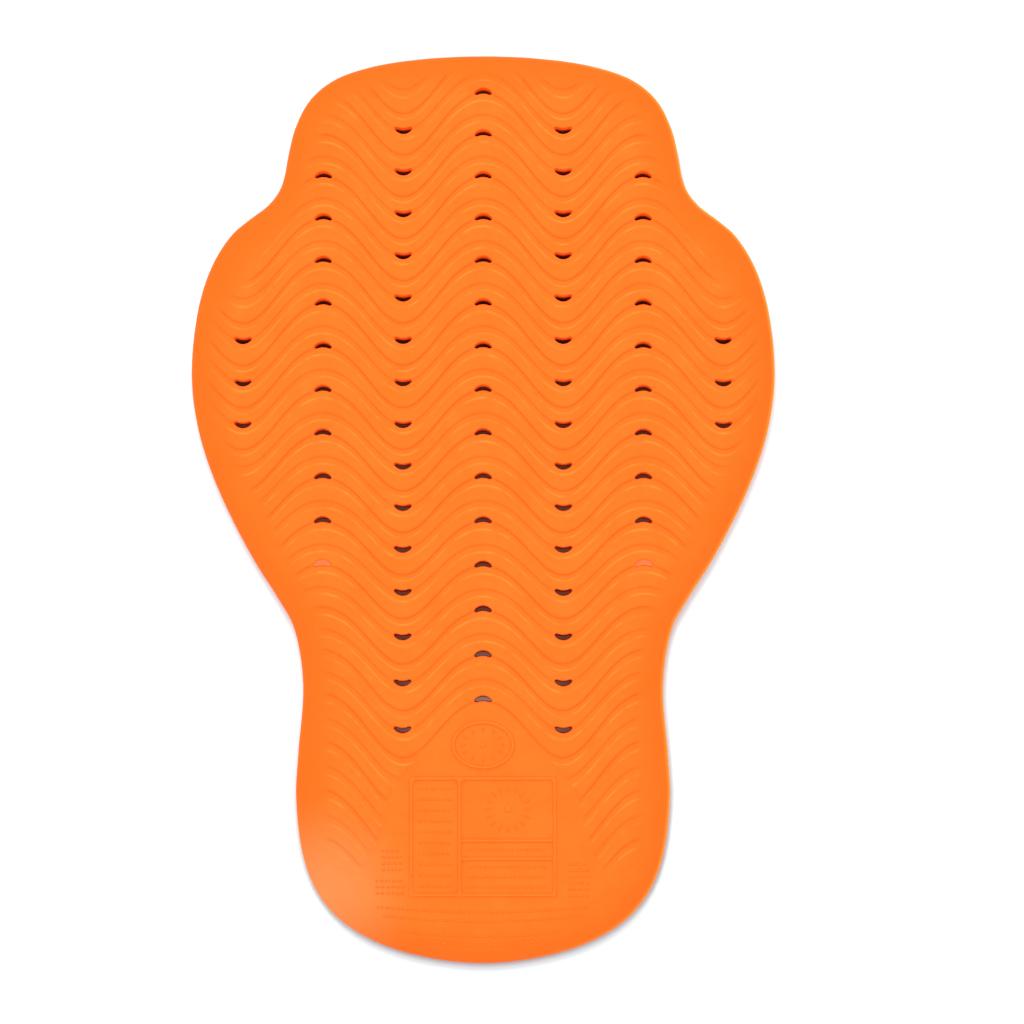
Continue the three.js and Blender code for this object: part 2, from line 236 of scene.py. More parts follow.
def run_tree(piece: bpy.types.Object, tree: bpy.types.NodeTree, values: dict) -> None:
    """Runs a Geometry Nodes tree on an object, and leaves it the result as its plain mesh.

    Args:
        piece: The object to change.
        tree: The tree to run.
        values: The value of each named input.
    """
    modifier = piece.modifiers.new(tree.name, "NODES")
    modifier.node_group = tree
    for item in tree.interface.items_tree:
        if item.in_out == "INPUT" and item.name in values:
            modifier[item.identifier] = values[item.name]
    graph = bpy.context.evaluated_depsgraph_get()
    result = bpy.data.meshes.new_from_object(piece.evaluated_get(graph))
    piece.modifiers.remove(modifier)
    old = piece.data
    piece.data = result
    bpy.data.meshes.remove(old)
    result.name = piece.name


def mesh_object(
        name: str, points: np.ndarray, faces: list, values: dict[str, np.ndarray]) -> bpy.types.Object:
    """Makes an object from points in millimetres.

    Args:
        name: The object's name.
        points: One row of x, y and z for each point, in millimetres.
        faces: Tuples of point numbers.
        values: Numbers to store on the points, by the attribute's name. A row of three is a vector.

    Returns:
        The object, linked to the scene.
    """
    mesh = bpy.data.meshes.new(name)
    mesh.from_pydata((np.asarray(points) * MM).tolist(), [], faces)
    for label, numbers in values.items():
        flat = np.asarray(numbers, np.float32)
        kind, slot = ("FLOAT", "value") if flat.ndim == 1 else ("FLOAT_VECTOR", "vector")
        mesh.attributes.new(label, kind, "POINT").data.foreach_set(slot, flat.ravel())
    piece = bpy.data.objects.new(name, mesh)
    bpy.context.scene.collection.objects.link(piece)
    return piece


def smooth_step(value: np.ndarray) -> np.ndarray:
    """Eases a share from 0 to 1, flat at both ends."""
    share = np.clip(value, 0.0, 1.0)
    return share * share * (3 - 2 * share)


def signed_depth(loop: np.ndarray, points: np.ndarray) -> np.ndarray:
    """Measures how deep points lie inside a closed loop.

    Args:
        loop: The loop's corners, one row of x and y each.
        points: The points to measure.

    Returns:
        The distance to the loop of each point, negative outside it.
    """
    chunk = 4000
    along = np.roll(loop, -1, axis=0) - loop
    along_sq = (along ** 2).sum(axis=1)
    end_y = loop[:, 1] + along[:, 1]
    slope = along[:, 0] / np.where(along[:, 1] == 0, 1e-9, along[:, 1])
    depth = np.empty(len(points))
    for start in range(0, len(points), chunk):
        x = points[start:start + chunk, 0, None]
        y = points[start:start + chunk, 1, None]
        dx = x - loop[:, 0]
        dy = y - loop[:, 1]
        share = np.clip((dx * along[:, 0] + dy * along[:, 1]) / along_sq, 0, 1)
        gap = np.hypot(dx - share * along[:, 0], dy - share * along[:, 1]).min(axis=1)
        crossed = ((loop[:, 1] > y) != (end_y > y)) & (x < loop[:, 0] + dy * slope)
        depth[start:start + chunk] = np.where(crossed.sum(axis=1) % 2 == 1, gap, -gap)
    return depth


def path_gap(path: np.ndarray, points: np.ndarray, cap: float) -> np.ndarray:
    """Measures the distance from points to an open path.

    Args:
        path: The path's corners, one row of x and y each.
        points: The points to measure.
        cap: The largest distance to return.

    Returns:
        The distances.
    """
    gaps = np.full(len(points), cap)
    for start, end in zip(path[:-1], path[1:]):
        along = end - start
        share = np.clip((points - start) @ along / (along @ along), 0, 1)
        gap = np.linalg.norm(points - start - share[:, None] * along, axis=1)
        np.minimum(gaps, gap, out=gaps)
    return gaps


def round_curve(corners: np.ndarray, steps: int) -> np.ndarray:
    """Runs a centripetal Catmull-Rom curve through the corners of a closed loop.

    Args:
        corners: The points that the curve passes through.
        steps: The number of evenly spaced points to return.

    Returns:
        The points on the curve, the first on the first corner.
    """
    fine = 24
    share = (np.arange(fine) / fine)[:, None]
    path = []
    for i in range(len(corners)):
        before, start, end, after = (corners[(i + k) % len(corners)] for k in (-1, 0, 1, 2))
        gaps = [math.sqrt(math.dist(a, b)) for a, b in ((before, start), (start, end), (end, after))]
        leave = (start - before) / gaps[0] - (end - before) / (gaps[0] + gaps[1]) + (end - start) / gaps[1]
        arrive = (end - start) / gaps[1] - (after - start) / (gaps[1] + gaps[2]) + (after - end) / gaps[2]
        leave, arrive = leave * gaps[1], arrive * gaps[1]
        bend = 3 * (end - start) - 2 * leave - arrive
        twist = 2 * (start - end) + leave + arrive
        path.append(start + leave * share + bend * share ** 2 + twist * share ** 3)
    curve = np.vstack([*path, corners[:1]])
    run = np.concatenate([[0], np.cumsum(np.linalg.norm(np.diff(curve, axis=0), axis=1))])
    stops = np.arange(steps) / steps * run[-1]
    return np.column_stack([np.interp(stops, run, curve[:, k]) for k in (0, 1)])


def inset_loop(loop: np.ndarray, distance: float) -> np.ndarray:
    """Moves a clockwise loop inwards.

    Args:
        loop: The loop's points.
        distance: How far each point moves, negative for outwards.

    Returns:
        The moved points.
    """
    along = np.roll(loop, -1, axis=0) - np.roll(loop, 1, axis=0)
    along /= np.linalg.norm(along, axis=1)[:, None]
    return loop + distance * np.column_stack([along[:, 1], -along[:, 0]])


@dataclass
class PadForm:
    """Outline and thickness of the pad, in millimetres."""

    length: float
    width: float
    rim_height: float = 6.2
    foot_round: float = 0.8
    edge_round: float = 2.4
    margin_width: float = 8.4
    core_height: float = 9.5
    crown_rise: float = 2.8
    label_zone_length: float = 123.6
    outline_steps: int = 440
    field_steps: int = 220

    def mirrored(self, table: tuple, start_y: float, length: float) -> np.ndarray:
        """Places a table of shares and its mirror image.

        Args:
            table: Rows of a share down the length and a share of the half width.
            start_y: Where the shares down start.
            length: What they are shares of.

        Returns:
            The corners, clockwise from the first row.
        """
        right = [(half * self.width / 2, start_y - down * length) for down, half in table]
        left = [(-x, y) for x, y in reversed(right) if x > 0]
        return np.array(right + left)

    def outline(self) -> np.ndarray:
        """Gives the pad's outline, clockwise from the neck."""
        return round_curve(self.mirrored(OUTLINE, self.length / 2, self.length), self.outline_steps)

    def field_edge(self) -> np.ndarray:
        """Gives the edge of the ribbed field, clockwise from the neck."""
        return round_curve(self.mirrored(FIELD_EDGE, self.length / 2, self.length), self.field_steps)


@dataclass
class RibWaves:
    """The lines along the lower edges of the ribs, numbered from the highest slot, in millimetres."""

    form: PadForm
    wave_length: float = 77.6
    main_depth: float = 30.4
    main_waist_depth: float = 25.7
    main_drop: float = 0.9
    between_depth: float = 28.1
    between_waist_depth: float = 23.2
    between_drop: float = 1.4
    crest_broadening: float = 0.95
    pitch: float = 10.16
    pitch_growth: float = 0.0135
    waist_pitch: float = 11.8
    rib_height: float = 0.6
    side_lift: float = 4.2
    first_slot_from_top: float = 17.6
    shallow_at: float = 0.55
    shallow_reach: float = 0.17
    lift_starts: float = 0.5
    lift_ends: float = 0.75
    first: int = -6
    last: int = 41
    column_gap: float = 2.0
    row_shares: tuple = (
        0.0, 0.025, 0.055, 0.11, 0.2, 0.29, 0.34, 0.365, 0.39, 0.42, 0.47, 0.6, 0.75, 0.88, 0.94, 0.965,
        0.985)

    def down(self, number: int) -> float:
        """Says how far a rib starts from the neck end.

        Args:
            number: The rib's number.

        Returns:
            The distance.
        """
        even = self.first_slot_from_top + self.pitch * number + self.pitch_growth * number ** 2
        waist = self.form.length - self.form.label_zone_length
        if even <= waist:
            return even
        return waist + (even - waist) * self.waist_pitch / (self.pitch + 2 * self.pitch_growth * number)

    def line(self, number: int, x: np.ndarray) -> np.ndarray:
        """Follows the lower edge of a rib.

        Args:
            number: The rib's number. Even ones carry slots on their crests, odd ones in their troughs.
            x: Where to read the line.

        Returns:
            The line's y at each x.
        """
        share = self.down(number) / self.form.length
        shallow = math.exp(-(((share - self.shallow_at) / self.shallow_reach) ** 2))
        if number % 2 == 0:
            depth = self.main_depth + (self.main_waist_depth - self.main_depth) * shallow
            drop = self.main_drop
        else:
            depth = self.between_depth + (self.between_waist_depth - self.between_depth) * shallow
            drop = self.between_drop
        lifted = smooth_step((share - self.lift_starts) / (self.lift_ends - self.lift_starts))
        turn = 2 * np.pi * x / self.wave_length
        wave = depth / 2 * (1 - np.cos(turn))
        broader = self.crest_broadening * (1 - np.cos(2 * turn))
        lift = self.side_lift * lifted * (x / self.wave_length) ** 2
        return self.form.length / 2 - self.down(number) - drop - wave + broader + lift

    def rib_turn(self, points: np.ndarray) -> np.ndarray:
        """Counts ribs down the pad: a whole number on a line, and parts of it between two lines.

        Args:
            points: Rows of x and y.

        Returns:
            The count at each point.
        """
        lines = np.array([self.line(i, points[:, 0]) for i in range(self.first, self.last + 1)])
        above = np.clip((lines >= points[:, 1]).sum(axis=0) - 1, 0, len(lines) - 2)
        at = np.arange(len(points))
        upper, lower = lines[above, at], lines[above + 1, at]
        return self.first + above + (upper - points[:, 1]) / (upper - lower)

    def rows(self) -> np.ndarray:
        """Lays out points on every row of every rib, as rows, columns, and x and y."""
        columns = round(self.form.width / 2 / self.column_gap)
        x = np.arange(-columns, columns + 1) * self.column_gap
        rows = []
        for number in range(self.first, self.last):
            upper, lower = self.line(number, x), self.line(number + 1, x)
            rows += [np.column_stack([x, upper + (lower - upper) * share]) for share in self.row_shares]
        return np.array(rows)


@dataclass
class LabelZone:
    """The smooth zone at the waist end, with a bare frame and a ring raised on it, in millimetres."""

    form: PadForm
    waves: RibWaves
    roof_span: float = 0.39
    roof_steps: int = 14
    panel_width: float = 70.6
    panel_height: float = 57.4
    panel_to_end: float = 32.1
    panel_column: float = 24.0
    panel_row: float = 30.5
    panel_strip: float = 8.8
    bar_width: float = 1.4
    bar_height: float = 0.6
    boss_to_panel: float = 3.9
    boss_half_width: float = 15.1
    boss_half_height: float = 11.6
    boss_steps: int = 60
    bar_step: float = 1.8
    grid_gap: float = 3.4
    valley_width: float = 2.4
    valley_ease: float = 1.0
    tip_groove: float = 0.3
    groove_ease: float = 0.8
    rise_ends: float = 25.0
    rise_full: float = 55.0

    def loop(self) -> np.ndarray:
        """Gives the edge of the zone: a roof that follows the wave, sloping sides and an open foot."""
        apex = -self.form.length / 2 + self.form.label_zone_length
        share = np.arange(self.roof_steps + 1) / self.roof_steps
        drop = self.waves.main_waist_depth / 2 * (1 - np.cos(self.roof_span * 2 * np.pi * share))
        roof = np.column_stack([self.roof_span * self.waves.wave_length * share, apex - drop])
        sides = [(half * self.form.width / 2, apex - down * self.form.label_zone_length)
                 for down, half in LABEL_SIDE]
        right = np.vstack([roof, sides])
        return np.vstack([right, right[:0:-1] * (-1, 1)])

    def rise(self, points: np.ndarray) -> np.ndarray:
        """Says how far the zone stands up to the level of the ribs' tops.

        A valley follows its roof, a thin groove wraps the rib tips at its sides, and it falls gently
        towards the pad's end.

        Args:
            points: Rows of x and y.

        Returns:
            The share of the rib height at each point.
        """
        loop = self.loop()
        half = self.roof_steps + 1
        end_y = -self.form.length / 2 + self.rise_ends
        side = np.vstack([loop[half:half + len(LABEL_SIDE)], [loop[half + len(LABEL_SIDE) - 1][0], end_y]])
        roof = np.vstack([loop[:half], side[:1]])
        area = np.vstack([roof, side])
        area = np.vstack([area, area[:0:-1] * (-1, 1)])
        folded = np.column_stack([np.abs(points[:, 0]), points[:, 1]])
        from_roof = path_gap(roof, folded, self.boss_half_width)
        from_side = path_gap(side, folded, self.boss_half_width)
        level = smooth_step((from_roof - self.valley_width) / self.valley_ease)
        level *= smooth_step((from_side - self.tip_groove) / self.groove_ease)
        level *= smooth_step((points[:, 1] - end_y) / (self.rise_full - self.rise_ends))
        return np.where(signed_depth(area, points) > 0, level, 0.0)

    @property
    def panel_bottom(self) -> float:
        """Where the lower bar of the panel lies."""
        return -self.form.length / 2 + self.panel_to_end

    @property
    def boss_y(self) -> float:
        """Where the middle of the ring lies."""
        return self.panel_bottom + self.panel_height + self.boss_to_panel + self.boss_half_height

    def bars(self) -> list[np.ndarray]:
        """Gives the middle line of each bar of the frame, and of the ring, as evenly spaced points."""
        side = (self.panel_width - self.bar_width) / 2
        low = self.panel_bottom + self.bar_width / 2
        high = self.panel_bottom + self.panel_height - self.bar_width / 2
        column = -self.panel_width / 2 + self.panel_column
        row = self.panel_bottom + self.panel_height - self.panel_row
        ends = [
            ((-side, low), (side, low)), ((-side, high), (side, high)), ((-side, low), (-side, high)),
            ((side, low), (side, high)), ((column, low), (column, high)), ((column, row), (side, row)),
            ((column, row - self.panel_strip), (side, row - self.panel_strip)),
        ]
        lines = []
        for start, end in ends:
            steps = round(math.dist(start, end) / self.bar_step)
            share = (np.arange(steps + 1) / steps)[:, None]
            lines.append(np.array(start) * (1 - share) + np.array(end) * share)
        angle = np.arange(self.boss_steps + 1) / self.boss_steps * 2 * np.pi
        across = self.boss_half_width - self.bar_width / 2
        up = self.boss_half_height - self.bar_width / 2
        lines.append(np.column_stack([across * np.cos(angle), self.boss_y + up * np.sin(angle)]))
        return lines

    def bar_gap(self, points: np.ndarray) -> np.ndarray:
        """Measures the distance from points to the middle line of the nearest bar.

        Args:
            points: Rows of x and y.

        Returns:
            The distances, capped well beyond a bar's width.
        """
        return np.min([path_gap(line, points, 10 * self.bar_width) for line in self.bars()], axis=0)


@dataclass
class VentSlots:
    """Vent slots on the crests of even ribs and in the troughs of odd ribs, in millimetres."""

    waves: RibWaves
    width: float = 8.7
    height: float = 3.4
    crest_above_edge: float = 0.8
    trough_above_edge: float = 0.1
    to_field_edge: float = 7.5
    to_label_zone: float = 2.0
    sides: int = 32
    lip_rings: tuple = (0.0, 0.06, 0.18, 0.38, 0.65, 1.0)
    lip_round: float = 0.65
    wall_shares: tuple = (0.9, 0.78, 0.62, 0.4, 0.2, 0.0)
    wall_taper: tuple = (0.1, 0.38)
    closed_column: int = 2

    def places(self, edge: np.ndarray, zone: np.ndarray) -> list[tuple[float, float, Arch, bool]]:
        """Finds the middle of each slot, wherever the field has room.

        Args:
            edge: The edge of the ribbed field.
            zone: The edge of the label zone.

        Returns:
            The x, y, way up, and whether a film closes it, of each slot.
        """
        half_waves = math.ceil(self.waves.form.width / self.waves.wave_length)
        found = []
        for column in range(-half_waves, half_waves + 1):
            x = column * self.waves.wave_length / 2
            way, rise = (Arch.CREST, self.crest_above_edge) if column % 2 == 0 else (
                Arch.TROUGH, self.trough_above_edge)
            numbers = [i for i in range(self.waves.first, self.waves.last) if (i - column) % 2 == 0]
            y = np.array([float(self.waves.line(i, np.array(x))) for i in numbers])
            spots = np.column_stack([np.full(len(y), x), y])
            roomy = signed_depth(edge, spots) > self.to_field_edge
            clear = signed_depth(zone, spots) < -self.to_label_zone
            kept = [float(v) + rise for v in y[roomy & clear]]
            found += [(x, v, way, abs(column) == self.closed_column and v == kept[-1]) for v in kept]
        return found

    def rings_tree(self) -> bpy.types.NodeTree:
        """Makes the tree that sets a ring of each size round every slot's middle."""
        sizes = {"Ring": "NodeSocketObject", "Material": "NodeSocketMaterial"}
        tree, given = new_geometry_tree("slot_rings", sizes)
        add = partial(add_node, tree)
        ring = add("GeometryNodeObjectInfo", {"Object": given.outputs["Ring"]})
        way = add("GeometryNodeInputNamedAttribute", {"Name": "way"}, data_type="FLOAT")
        half_turn = add("ShaderNodeMath", (way, math.pi), operation="MULTIPLY")
        euler = add("ShaderNodeCombineXYZ", {"Z": half_turn})
        turned = add("FunctionNodeEulerToRotation", (euler,))
        laid = add("GeometryNodeInstanceOnPoints", {
            "Points": given.outputs["Geometry"], "Instance": ring.outputs["Geometry"], "Rotation": turned})
        finish_geometry_tree(tree, laid, given.outputs["Material"])
        return tree

    def rings(self, places: list) -> np.ndarray:
        """Sets rings round every slot with Geometry Nodes and reads them back.

        Args:
            places: The slots' middles, as places gives them.

        Returns:
            Points in millimetres, by slot, by ring and round the ring.
        """
        corners = np.array([(a * self.width / 2, b * self.height / 2) for a, b in SLOT_OUTLINE])
        outline = round_curve(corners, self.sides)
        pattern = np.vstack([inset_loop(outline, -gap) for gap in self.lip_rings])
        flat = np.column_stack([pattern, np.zeros(len(pattern))])
        ring = mesh_object("slot_ring", flat, [], {})
        middles = np.array([(x, y, 0.0) for x, y, _, _ in places])
        way = np.array([way.value for _, _, way, _ in places])
        laid = mesh_object("slot_rings", middles, [], {"way": way})
        run_tree(laid, self.rings_tree(), {"Ring": ring})
        found = np.array([v.co[:2] for v in laid.data.vertices]) / MM
        for piece in (ring, laid):
            bpy.data.meshes.remove(piece.data)
        return found.reshape(len(places), len(self.lip_rings), self.sides, 2)


@dataclass
class RingMesh:
    """A mesh that grows ring by ring from a skin, with the numbers stored on each of its points."""

    points: list[np.ndarray]
    faces: list[np.ndarray]
    values: list[dict[str, np.ndarray]]

    def add_ring(self, loop: np.ndarray, like: np.ndarray, changes: dict) -> np.ndarray:
        """Adds a ring of points.

        Args:
            loop: The ring's points, as rows of x and y.
            like: The number of the skin's point that each of them is measured like.
            changes: The numbers that differ, by the attribute's name.

        Returns:
            The numbers of the new points.
        """
        start = sum(len(part) for part in self.points)
        self.points.append(loop)
        self.values.append({
            name: changes.get(name, old[like]) * np.ones(len(like)) for name, old in self.values[0].items()})
        return np.arange(start, start + len(loop))

    def join_rings(self, upper: np.ndarray, lower: np.ndarray, outwards: bool) -> None:
        """Joins two rings with triangles.

        Args:
            upper: The numbers of the upper ring's points.
            lower: Those of the lower ring.
            outwards: Whether the wall faces away from the ring's middle.
        """
        a, b = upper, np.roll(upper, -1)
        c, d = lower, np.roll(lower, -1)
        pairs = [(a, b, c), (b, d, c)] if outwards else [(a, c, b), (b, c, d)]
        self.faces.extend(np.column_stack(p) for p in pairs)

    def flat_object(self, name: str) -> bpy.types.Object:
        """Makes the object, with every point on the floor."""
        points = np.vstack(self.points)
        values = {k: np.concatenate([part[k] for part in self.values]) for k in self.values[0]}
        placed = np.column_stack([points, np.zeros(len(points))])
        return mesh_object(name, placed, np.vstack(self.faces).tolist(), values)


@dataclass
class MouldedPad:
    """The foam pad: one closed mesh with waves of ribs, vent slots, a rolled rim and a plain back.

    Where two layouts of points meet, one stops a small gap short of the other.
    """

    form: PadForm
    waves: RibWaves
    zone: LabelZone
    slots: VentSlots
    name: str = "moulded_pad"
    field_fade: float = 3.6
    fade_start: float = 0.12
    zone_fade: float = 1.0
    odd_rib_drop: float = 0.14
    bar_crest_share: float = 0.15
    slot_clearance: float = 1.3
    far_from_slot: float = 20.0
    margin_rings: tuple = (3.3, 4.5, 5.8, 7.1, 8.4, 10.5)
    margin_gap: float = 0.6
    row_overhang: float = 0.2
    row_gap: float = 0.5
    roll_steps: int = 6
    side_row: float = 0.6
    foot_middle: float = 0.29
    zone_step: float = 1.3
    zone_rings: tuple = (-3.5, -3.1, -2.75, -2.4, -1.2, -0.7, -0.3, 0.0, 0.5, 1.0)
    zone_overhang: float = 0.1
    edge_overhang: float = 0.3
    rim_gap: float = 9.0
    bar_rows: tuple = (0.0, 0.28, 0.48, 0.7, 0.95)
    grid_to_zone: float = 0.8
    grid_to_field: float = 1.5
    grid_to_margin: float = 1.2
    grid_to_bar: float = 1.6
    epsilon: float = 1e-4
    sharp_angle: float = 62.0
    rings: np.ndarray | None = None
    places: list = field(default_factory=list)

    def skin_points(
            self, outline: np.ndarray, edge: np.ndarray, zone: np.ndarray) -> tuple[np.ndarray, list]:
        """Lays out the points and fixed edges of the ribbed face.

        Args:
            outline: The pad's outline.
            edge: The edge of the ribbed field.
            zone: The edge of the label zone.

        Returns:
            The points, with the rolled edge's end first and then the slots' rings, and the fixed edges.
        """
        border = inset_loop(outline, self.form.edge_round)
        ring_points = self.rings.reshape(-1, 2)
        points = [border, ring_points]
        edges = [(i, (i + 1) % len(border)) for i in range(len(border))]
        per_slot = len(self.slots.lip_rings) * self.slots.sides
        for number in range(len(self.places)):
            start = len(border) + number * per_slot
            edges += [(start + i, start + (i + 1) % self.slots.sides) for i in range(self.slots.sides)]
        count = len(border) + len(ring_points)
        margins = np.vstack([inset_loop(outline, gap) for gap in self.margin_rings])
        margins = margins[signed_depth(edge, margins) < -self.margin_gap]
        rows = self.waves.rows()
        flat = rows.reshape(-1, 2)
        keep = signed_depth(edge, flat) > -self.row_overhang
        keep &= signed_depth(zone, flat) < -self.zone_rings[-1] - self.row_gap
        keep &= self.slot_gap(flat) > self.slot_clearance
        number = np.cumsum(keep) - 1 + count
        kept = keep.reshape(rows.shape[:2])
        grid = number.reshape(rows.shape[:2])
        joined = kept[:, :-1] & kept[:, 1:]
        edges += list(zip(grid[:, :-1][joined].tolist(), grid[:, 1:][joined].tolist()))
        points += [flat[keep], margins, self.zone_points(zone, edge, outline)]
        return np.vstack(points), edges

    def zone_points(self, zone: np.ndarray, edge: np.ndarray, outline: np.ndarray) -> np.ndarray:
        """Lays out the points in and round the label zone.

        Args:
            zone: The edge of the zone.
            edge: The edge of the ribbed field.
            outline: The pad's outline.

        Returns:
            The points.
        """
        run = []
        for start, end in zip(zone, np.roll(zone, -1, axis=0)):
            steps = max(1, round(math.dist(start, end) / self.zone_step))
            run += [start + (end - start) * k / steps for k in range(steps)]
        run = np.array(run)
        found = [inset_loop(run, -gap) for gap in self.zone_rings]
        for line in self.zone.bars():
            along = np.gradient(line, axis=0)
            along /= np.linalg.norm(along, axis=1)[:, None]
            aside = np.column_stack([along[:, 1], -along[:, 0]])
            for gap in self.bar_rows:
                found += [line + aside * gap, line - aside * gap] if gap else [line]
        gap = self.zone.grid_gap
        reach = np.arange(-round(self.form.width / 2 / gap), round(self.form.width / 2 / gap) + 1) * gap
        down = np.arange(-round(self.form.length / 2 / gap), 0) * gap
        grid = np.array(np.meshgrid(reach, down)).reshape(2, -1).T
        in_zone = signed_depth(zone, grid) > self.grid_to_zone - self.zone_rings[0]
        off_field = signed_depth(edge, grid) < -self.grid_to_field
        clear = signed_depth(outline, grid) > self.margin_rings[-1] + self.grid_to_margin
        clear &= self.zone.bar_gap(grid) > self.grid_to_bar
        found.append(grid[(in_zone | off_field) & clear])
        points = np.vstack(found)
        off_field = signed_depth(edge, points) <= -self.edge_overhang
        in_zone = signed_depth(zone, points) > -self.zone_rings[-1] - self.zone_overhang
        return points[(in_zone | off_field) & (signed_depth(outline, points) > self.rim_gap)]

    def slot_gap(self, points: np.ndarray) -> np.ndarray:
        """Measures how far points lie outside the nearest slot.

        Args:
            points: Rows of x and y.

        Returns:
            The distances, negative inside a slot and capped well away from one.
        """
        gaps = np.full(len(points), self.far_from_slot)
        reach = self.slots.width
        for (x, y, _, _), rings in zip(self.places, self.rings):
            near = (abs(points[:, 0] - x) < reach) & (abs(points[:, 1] - y) < reach)
            gaps[near] = np.minimum(gaps[near], -signed_depth(rings[0], points[near]))
        return gaps

    def triangles(self, points: np.ndarray, edges: list, loops: list) -> tuple[np.ndarray, np.ndarray, dict]:
        """Joins points to triangles between an outer loop and the slots.

        Args:
            points: Rows of x and y.
            edges: Pairs of point numbers that stay joined.
            loops: The outer loop and then each hole, as lists of point numbers.

        Returns:
            The points, the triangles that face up, and each old point's new number.
        """
        vectors = [Vector(p) for p in points.tolist()]
        made = delaunay_2d_cdt(vectors, edges, [], 0, self.epsilon, True)
        new_points = np.array([tuple(v) for v in made[0]])
        new_number = {old: new for new, olds in enumerate(made[3]) for old in olds}
        faces = np.array(made[2])
        owner = np.full(len(new_points), -1)
        for number, loop in enumerate(loops):
            owner[[new_number[i] for i in loop]] = number
        owners = owner[faces]
        suspect = (owners[:, 0] >= 0) & (owners[:, 0] == owners[:, 1]) & (owners[:, 1] == owners[:, 2])
        drop = np.zeros(len(faces), bool)
        middles = new_points[faces].mean(axis=1)
        for number, loop in enumerate(loops):
            chosen = np.flatnonzero(suspect & (owners[:, 0] == number))
            inside = signed_depth(points[loop], middles[chosen]) > 0
            drop[chosen] = ~inside if number == 0 else inside
        faces = faces[~drop]
        a, b, c = (new_points[faces[:, k]] for k in range(3))
        area = (b[:, 0] - a[:, 0]) * (c[:, 1] - a[:, 1]) - (b[:, 1] - a[:, 1]) * (c[:, 0] - a[:, 0])
        faces[area < 0] = faces[area < 0][:, ::-1]
        return new_points, faces, new_number

    def measured(self, points: np.ndarray, outline: np.ndarray, edge: np.ndarray, zone: np.ndarray) -> dict:
        """Measures what the relief needs at each point of the ribbed face.

        Args:
            points: Rows of x and y.
            outline: The pad's outline.
            edge: The edge of the ribbed field.
            zone: The edge of the label zone.

        Returns:
            The attributes, with lengths in metres.
        """
        turn = self.waves.rib_turn(points)
        strength = smooth_step(signed_depth(edge, points) / self.field_fade + self.fade_start)
        strength *= smooth_step(-signed_depth(zone, points) / self.zone_fade)
        strength *= 1 - self.odd_rib_drop * (1 - np.cos(np.pi * turn))
        low = points[:, 1] < -self.form.length / 2 + self.form.label_zone_length
        near = low & (np.abs(points[:, 0]) < self.zone.panel_width / 2 + 2 * self.zone.bar_width)
        bar_gap = np.full(len(points), 1.0)
        bar_gap[near] = self.zone.bar_gap(points[near]) * MM
        zone_rise = np.zeros(len(points))
        zone_rise[low] = self.zone.rise(points[low])
        return {
            "edge_inset": np.maximum(signed_depth(outline, points), 0) * MM,
            "rib_turn": turn,
            "rib_strength": strength,
            "zone_rise": zone_rise,
            "bar_gap": bar_gap,
            "lip_gap": np.maximum(self.slot_gap(points), 0) * MM,
            "height_share": np.ones(len(points)),
            "slot_depth": np.zeros(len(points)),
        }

    def flat_mesh(self) -> bpy.types.Object:
        """Builds the pad's mesh before its relief: every point in its place seen from above."""
        outline, edge, zone = self.form.outline(), self.form.field_edge(), self.zone.loop()
        self.places = self.slots.places(edge, zone)
        self.rings = self.slots.rings(self.places)
        points, edges = self.skin_points(outline, edge, zone)
        sides = self.slots.sides
        per_slot = len(self.slots.lip_rings) * sides
        starts = [len(outline) + n * per_slot for n in range(len(self.places))]
        loops = [list(range(len(outline)))] + [list(range(s, s + sides)) for s in starts]
        skin, faces, number = self.triangles(points, edges, loops)
        grown = RingMesh([skin], [faces], [self.measured(skin, outline, edge, zone)])
        tops = [np.array([number[i] for i in loop]) for loop in loops]
        lowest = [self.roll_edge(grown, outline, tops[0])]
        lowest += [self.sink_wall(grown, top, place[:2]) for top, place in zip(tops[1:], self.places)]
        self.close_back(grown, lowest)
        return grown.flat_object(self.name)

    def roll_edge(self, grown: RingMesh, outline: np.ndarray, border: np.ndarray) -> np.ndarray:
        """Rolls the skin's border over and down to the back face.

        Args:
            grown: The mesh so far.
            outline: The pad's outline.
            border: The numbers of the border's points.

        Returns:
            The numbers of the lowest ring's points.
        """
        rolled = [(self.form.edge_round * (1 - math.cos(math.radians(90 * k / self.roll_steps))), 1.0)
                  for k in range(self.roll_steps - 1, -1, -1)]
        foot = self.form.foot_round
        low = foot / self.form.rim_height
        middle = (foot * self.foot_middle, low * self.foot_middle)
        upper = border
        for inset, share in (*rolled, (0.0, self.side_row), (0.0, low), middle, (foot, 0.0)):
            lower = grown.add_ring(inset_loop(outline, inset), border, {
                "edge_inset": inset * MM if share == 1.0 else 0.0, "height_share": share})
            grown.join_rings(upper, lower, True)
            upper = lower
        return upper

    def sink_wall(self, grown: RingMesh, top: np.ndarray, middle: tuple) -> np.ndarray:
        """Sinks a slot's wall from its lip to the back face.

        Args:
            grown: The mesh so far.
            top: The numbers of the points round the slot's lip.
            middle: The slot's middle.

        Returns:
            The numbers of the lowest ring's points.
        """
        upper = top
        for share in self.slots.wall_shares:
            narrower = 1 - (1 - share) * np.array(self.slots.wall_taper)
            ring = middle + (grown.points[0][top] - middle) * narrower
            lower = grown.add_ring(ring, top, {"height_share": share, "slot_depth": 1 - share})
            grown.join_rings(upper, lower, False)
            upper = lower
        return upper

